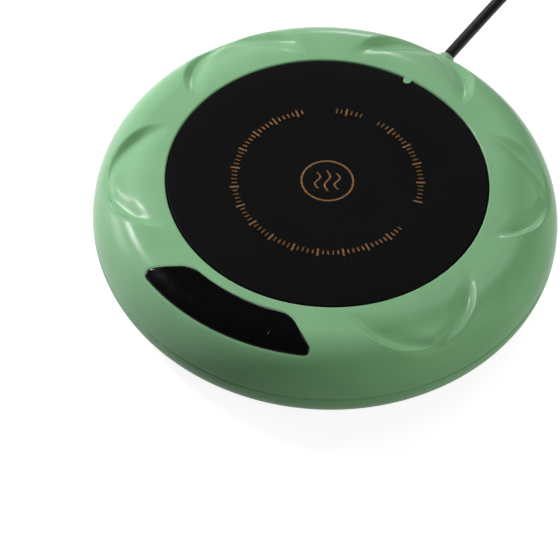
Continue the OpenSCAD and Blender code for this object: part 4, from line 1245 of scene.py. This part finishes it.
# Grey ink of the touch mark, behind the polish: faint
grey_ink = grained(
    "pale_grey_screen_ink", "#343436", "#2A2A2C", rough=0.35, grit=0.4 * MM, depth=0.001 * MM,
    cloud=0.3 * MM, spread=0.05, shader={"IOR": 1.49, "Specular IOR Level": 0.2})

# Nitrile rubber of the feet: dull, with a dusty bloom
foot_rubber = grained(
    "nitrile_rubber_moulded", "#1B1B1C", "#262627", rough=0.78, grit=0.25 * MM, depth=0.012 * MM,
    cloud=2.5 * MM, shader={"IOR": 1.52})

# PVC jacket of the cord: extruded, half matt, with a fine pebble
cord_pvc = grained(
    "black_pvc_extruded", "#0D0D0E", "#131314", rough=0.42, grit=0.45 * MM, depth=0.02 * MM,
    cloud=9 * MM, shader={"IOR": 1.53, "Specular IOR Level": 0.2})

# PVC overmould of the plug: a touch duller than the cord
plug_pvc = grained(
    "black_pvc_overmoulded", "#19191A", "#202021", rough=0.5, grit=0.3 * MM, depth=0.01 * MM,
    shader={"IOR": 1.53})

# Black ABS inside: plain moulded, half matt
black_abs = grained(
    "black_abs_moulded", "#171718", "#1E1E20", rough=0.48, grit=0.3 * MM, depth=0.006 * MM,
    shader={"IOR": 1.54})

# White PBT of the sockets and the digit case: slightly warm and dull
white_pbt = grained(
    "white_pbt_moulded", "#E6E4DA", "#DDDACE", rough=0.5, grit=0.2 * MM, depth=0.004 * MM,
    cloud=3 * MM, shader={"IOR": 1.55})

# Red acetal plunger: waxy gloss
red_acetal = grained(
    "red_acetal_moulded", "#B3261E", "#A8231C", rough=0.35, grit=0.2 * MM, depth=0.003 * MM,
    cloud=1 * MM, shader={"IOR": 1.48})

# Acrylic foam tape: off-white, soft and full of tiny cells
foam_tape = grained(
    "white_acrylic_foam_tape", "#DCDAD2", "#CFCDC4", rough=0.85, grit=0.15 * MM, depth=0.02 * MM,
    cloud=1.5 * MM, shader={"IOR": 1.48})

# Amber bead of the temperature probe: glassy resin
probe_resin = grained(
    "amber_epoxy_bead", "#7A4A1C", "#8C5822", rough=0.28, grit=0.4 * MM, depth=0.004 * MM,
    cloud=0.8 * MM, shader={"IOR": 1.55})

# Jackets of the single wires: grey PVC, half gloss, and red silicone, duller
wire_grey = grained(
    "grey_pvc_wire", "#8C8E90", "#85878A", rough=0.45, grit=0.3 * MM, depth=0.004 * MM,
    cloud=4 * MM, shader={"IOR": 1.53})
wire_red = grained(
    "red_silicone_wire", "#A5281F", "#98241C", rough=0.52, grit=0.3 * MM, depth=0.006 * MM,
    cloud=4 * MM, shader={"IOR": 1.42})

# Bright zinc-plated screws: small turned rings in the plating
screw_steel = grained(
    "zinc_plated_screw_steel", "#B9BBBF", "#AEB1B6", rough=0.3, grit=0.3 * MM, depth=0.002 * MM,
    cloud=6 * MM, spread=0.08, along=(1, 1, 6), shader={"Metallic": 1.0})

# Drawn spring wire: darker, drawn lengthwise
spring_steel = grained(
    "drawn_spring_wire", "#8F9296", "#85888D", rough=0.28, grit=0.2 * MM, depth=0.002 * MM,
    cloud=6 * MM, spread=0.08, along=(1, 1, 0.4), shader={"Metallic": 1.0})

# Galvanised sheet of the backing plate: faint rolled grain along X
sheet_steel = grained(
    "galvanised_sheet", "#A7AAAC", "#989C9F", rough=0.42, grit=0.4 * MM, depth=0.004 * MM,
    cloud=6 * MM, spread=0.08, along=(0.08, 1, 1), shader={"Metallic": 1.0})

# Aluminium spreader: milled along Y
aluminium = grained(
    "milled_aluminium", "#C9CBCE", "#BFC2C6", rough=0.35, grit=0.3 * MM, depth=0.004 * MM,
    cloud=6 * MM, spread=0.08, along=(1, 0.06, 1), shader={"Metallic": 1.0})

# Brass of terminals and contacts: warm, lightly tarnished
brass = grained(
    "rolled_brass", "#C9A45A", "#B08A45", rough=0.3, grit=0.3 * MM, depth=0.002 * MM,
    cloud=6 * MM, spread=0.08, along=(1, 0.3, 1), shader={"Metallic": 1.0})

# Nickel-plated plug shell: bright, drawn along the plug
plug_nickel = grained(
    "nickel_plated_sheet", "#BDBCB8", "#B2B1AD", rough=0.24, grit=0.25 * MM, depth=0.002 * MM,
    cloud=6 * MM, spread=0.08, along=(0.1, 1, 1), shader={"Metallic": 1.0})

# Green solder mask: glossy lacquer over a faint pattern of copper tracks about 1.3 mm apart
board_mask, place = bare("green_solder_mask")
tracks = add(board_mask, "ShaderNodeTexBrick", {
    "Vector": place, "Scale": 1 / (8 * MM), "Mortar Size": 0.06, "Brick Width": 0.5,
    "Row Height": 0.16, "Color1": linear("#14552F"), "Color2": linear("#1A6238"),
    "Mortar": linear("#0F4426")}, offset=0.37)
finished(board_mask, tracks.outputs["Fac"], 0.03 * MM,
         {"Base Color": tracks.outputs["Color"], "Roughness": 0.3, "IOR": 1.55})

# Etched heating foil between amber polyimide sheets: dark tracks under a glossy film
foil, place = bare("polyimide_heating_foil")
bands = add(foil, "ShaderNodeTexWave", {
    "Vector": place, "Scale": 1 / (9 * MM), "Distortion": 1.5, "Detail": 1.0},
    wave_type="RINGS", rings_direction="Z").outputs["Fac"]
film = add(foil, "ShaderNodeMix", {0: bands, 6: linear("#B5712A"), 7: linear("#7A4415")},
           data_type="RGBA").outputs[2]
finished(foil, bands, 0.02 * MM, {"Base Color": film, "Roughness": 0.25, "IOR": 1.6})

# Ceramic-fibre pad: matted white fibres with no gloss
fibre, place = bare("ceramic_fibre_pad")
place = add(fibre, "ShaderNodeMapping", {"Vector": place, "Scale": (1, 0.35, 1)}).outputs[0]
hairs = add(fibre, "ShaderNodeTexNoise", {
    "Vector": place, "Scale": 1 / (0.5 * MM), "Detail": 6.0, "Distortion": 0.6}).outputs["Fac"]
felt = add(fibre, "ShaderNodeMix", {0: hairs, 6: linear("#E2DED2"), 7: linear("#B0AB9D")},
           data_type="RGBA").outputs[2]
finished(fibre, hairs, 0.15 * MM, {"Base Color": felt, "Roughness": 0.95, "IOR": 1.45,
                                   "Sheen Weight": 0.3, "Sheen Roughness": 0.6})

# Woven nylon strap: loops 0.6 mm apart, soft and dull
strap_nylon, place = bare("black_nylon_hook_and_loop")
loops = add(strap_nylon, "ShaderNodeTexVoronoi",
            {"Vector": place, "Scale": 1 / (0.6 * MM)}).outputs["Distance"]
weave = add(strap_nylon, "ShaderNodeMix", {0: loops, 6: linear("#2A2A2C"), 7: linear("#121213")},
            data_type="RGBA").outputs[2]
finished(strap_nylon, loops, 0.15 * MM, {"Base Color": weave, "Roughness": 0.85, "IOR": 1.53,
                                         "Sheen Weight": 0.4, "Sheen Roughness": 0.5})


# ---------------------------------------------------------------- dressing of the pieces

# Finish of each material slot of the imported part
slot_finish = {
    "shell": shell_abs, "shell_base": base_abs, "foot_rubber": foot_rubber,
    "steel": screw_steel, "spring_steel": spring_steel, "zinc_steel": sheet_steel,
    "aluminium": aluminium, "brass": brass, "lens": lens_acrylic, "disc": disc_enamel,
    "tape": foam_tape, "board": board_mask, "module_white": white_pbt,
    "black_plastic": black_abs, "plunger_red": red_acetal, "film": foil, "felt": fibre,
    "probe": probe_resin, "wire_grey": wire_grey, "wire_red": wire_red, "cord": cord_pvc,
    "tie": strap_nylon, "plug": plug_pvc, "plug_steel": plug_nickel,
}


def dress(o, finish_of, *nodes, body="housing", slot=None, bend_z=None):
    """Gives a new piece its finish and the body that it rides on, and hides the imported solids
    that it stands for.

    A piece with bend_z rides on no body: its place goes into its mesh, and the two heights are not
    used.
    """
    o.data.materials.clear()
    o.data.materials.append(finish_of)
    if bend_z:
        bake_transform(o)
    else:
        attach(o, body)
    if nodes:
        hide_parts(*nodes)


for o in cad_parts.values():
    for s in o.material_slots:
        s.material = slot_finish[s.material.name.split(".")[0]]

dress(upper, shell_abs, "upper_shell", slot="shell")
dress(cover_bosses, shell_abs, "upper_shell", slot="shell")
dress(base, base_abs, "base_cover", slot="shell_base")
for o in feet:
    dress(o, foot_rubber, "foot_pads", slot="foot_rubber")
for o in base_screws:
    dress(o, screw_steel, "base_screws", slot="steel")
dress(disc, disc_enamel, "heating_disc", body="plate", slot="disc")
dress(scale, gold_ink, body="plate")
dress(sign, gold_ink, body="plate")
dress(lens, lens_acrylic, "panel_lens", slot="lens")
dress(mark, grey_ink)
dress(sleeve, shell_abs, "cord_collar", slot="shell")
dress(cord, cord_pvc, "power_cord", "cord_coil", slot="cord")
dress(tie, strap_nylon, "cord_tie", slot="tie")
for o in springs:
    dress(o, spring_steel, "return_springs", slot="spring_steel",
          bend_z=(spring_low.z + 2 * spring_wire_r, spring_high.z - 2 * spring_wire_r))
dress(leads, wire_red, "plate_leads", slot="wire_red", bend_z=wires_bend_z)
dress(plug_relief, plug_pvc, "plug_boot", slot="plug")
dress(plug_grip, plug_pvc, "plug_body", slot="plug")
dress(plug_sleeve, plug_nickel, "plug_shell", slot="plug_steel")


# ---------------------------------------------------------------- floor and light

only()
bpy.ops.mesh.primitive_plane_add(size=24)
floor = bpy.context.object
floor.name = "floor"
# Painted board: pale and even. What the lamps leave short of white is made up for the
# camera and for reflections, and the shadow stays.
floor_glow = 0.88
floor_paint, place = bare("white_painted_board")
cloud = add(floor_paint, "ShaderNodeTexNoise", {"Vector": place, "Scale": 2.5}).outputs["Fac"]
paint = add(floor_paint, "ShaderNodeMix", {0: cloud, 6: linear("#8F8F8F"), 7: linear("#8D8D8E")},
            data_type="RGBA").outputs[2]
rays = add(floor_paint, "ShaderNodeLightPath").outputs
seen = rays["Is Camera Ray"]
for kind in ("Is Glossy Ray", "Is Transmission Ray"):
    seen = add(floor_paint, "ShaderNodeMath", {0: seen, 1: rays[kind]},
               operation="MAXIMUM").outputs[0]
glow = add(floor_paint, "ShaderNodeMath", {0: seen, 1: floor_glow},
           operation="MULTIPLY").outputs[0]
coat = add(floor_paint, "ShaderNodeBsdfPrincipled", {
    "Base Color": paint, "Roughness": 0.9, "Specular IOR Level": 0.0,
    "Emission Color": (1, 1, 1, 1), "Emission Strength": glow})
add(floor_paint, "ShaderNodeOutputMaterial", {"Surface": coat.outputs[0]})
floor.data.materials.append(floor_paint)


def soft_lamp(name, away, height, azimuth, size, power, colour="#FFFFFF"):
    """Square soft box that looks at the warmer. Azimuth 0 is the front, 90 the right side."""
    a, e = radians(azimuth), radians(height)
    place = Vector((sin(a) * cos(e), -cos(a) * cos(e), sin(e))) * away
    bpy.ops.object.light_add(type="AREA", location=place)
    o = bpy.context.object
    o.name = name
    o.data.shape = "SQUARE"
    o.data.size = size
    o.data.energy = power
    o.data.color = linear(colour)[:3]
    o.rotation_mode = "QUATERNION"
    o.rotation_quaternion = (-place).to_track_quat("-Z", "Y")


soft_lamp("soft_box_left", away=0.47, height=39, azimuth=276, size=0.08, power=1.9,
          colour="#FFF4FF")
soft_lamp("strip_left_low", away=1.0, height=12, azimuth=280, size=0.3, power=3.8,
          colour="#FFF4FF")
soft_lamp("strip_back_low", away=1.0, height=12, azimuth=205, size=0.15, power=1.6)
soft_lamp("soft_box_back", away=1.0, height=58, azimuth=158, size=0.4, power=2.4)
soft_lamp("soft_box_right", away=1.0, height=24, azimuth=88, size=0.7, power=4.6,
          colour="#F7FFED")

world = bpy.data.worlds.new("studio")
bpy.context.scene.world = world
world.use_nodes = True
sky = world.node_tree.nodes["Background"].inputs
sky["Color"].default_value = (1, 1, 1, 1)
sky["Strength"].default_value = 0.05

bpy.context.scene.view_settings.view_transform = "Standard"
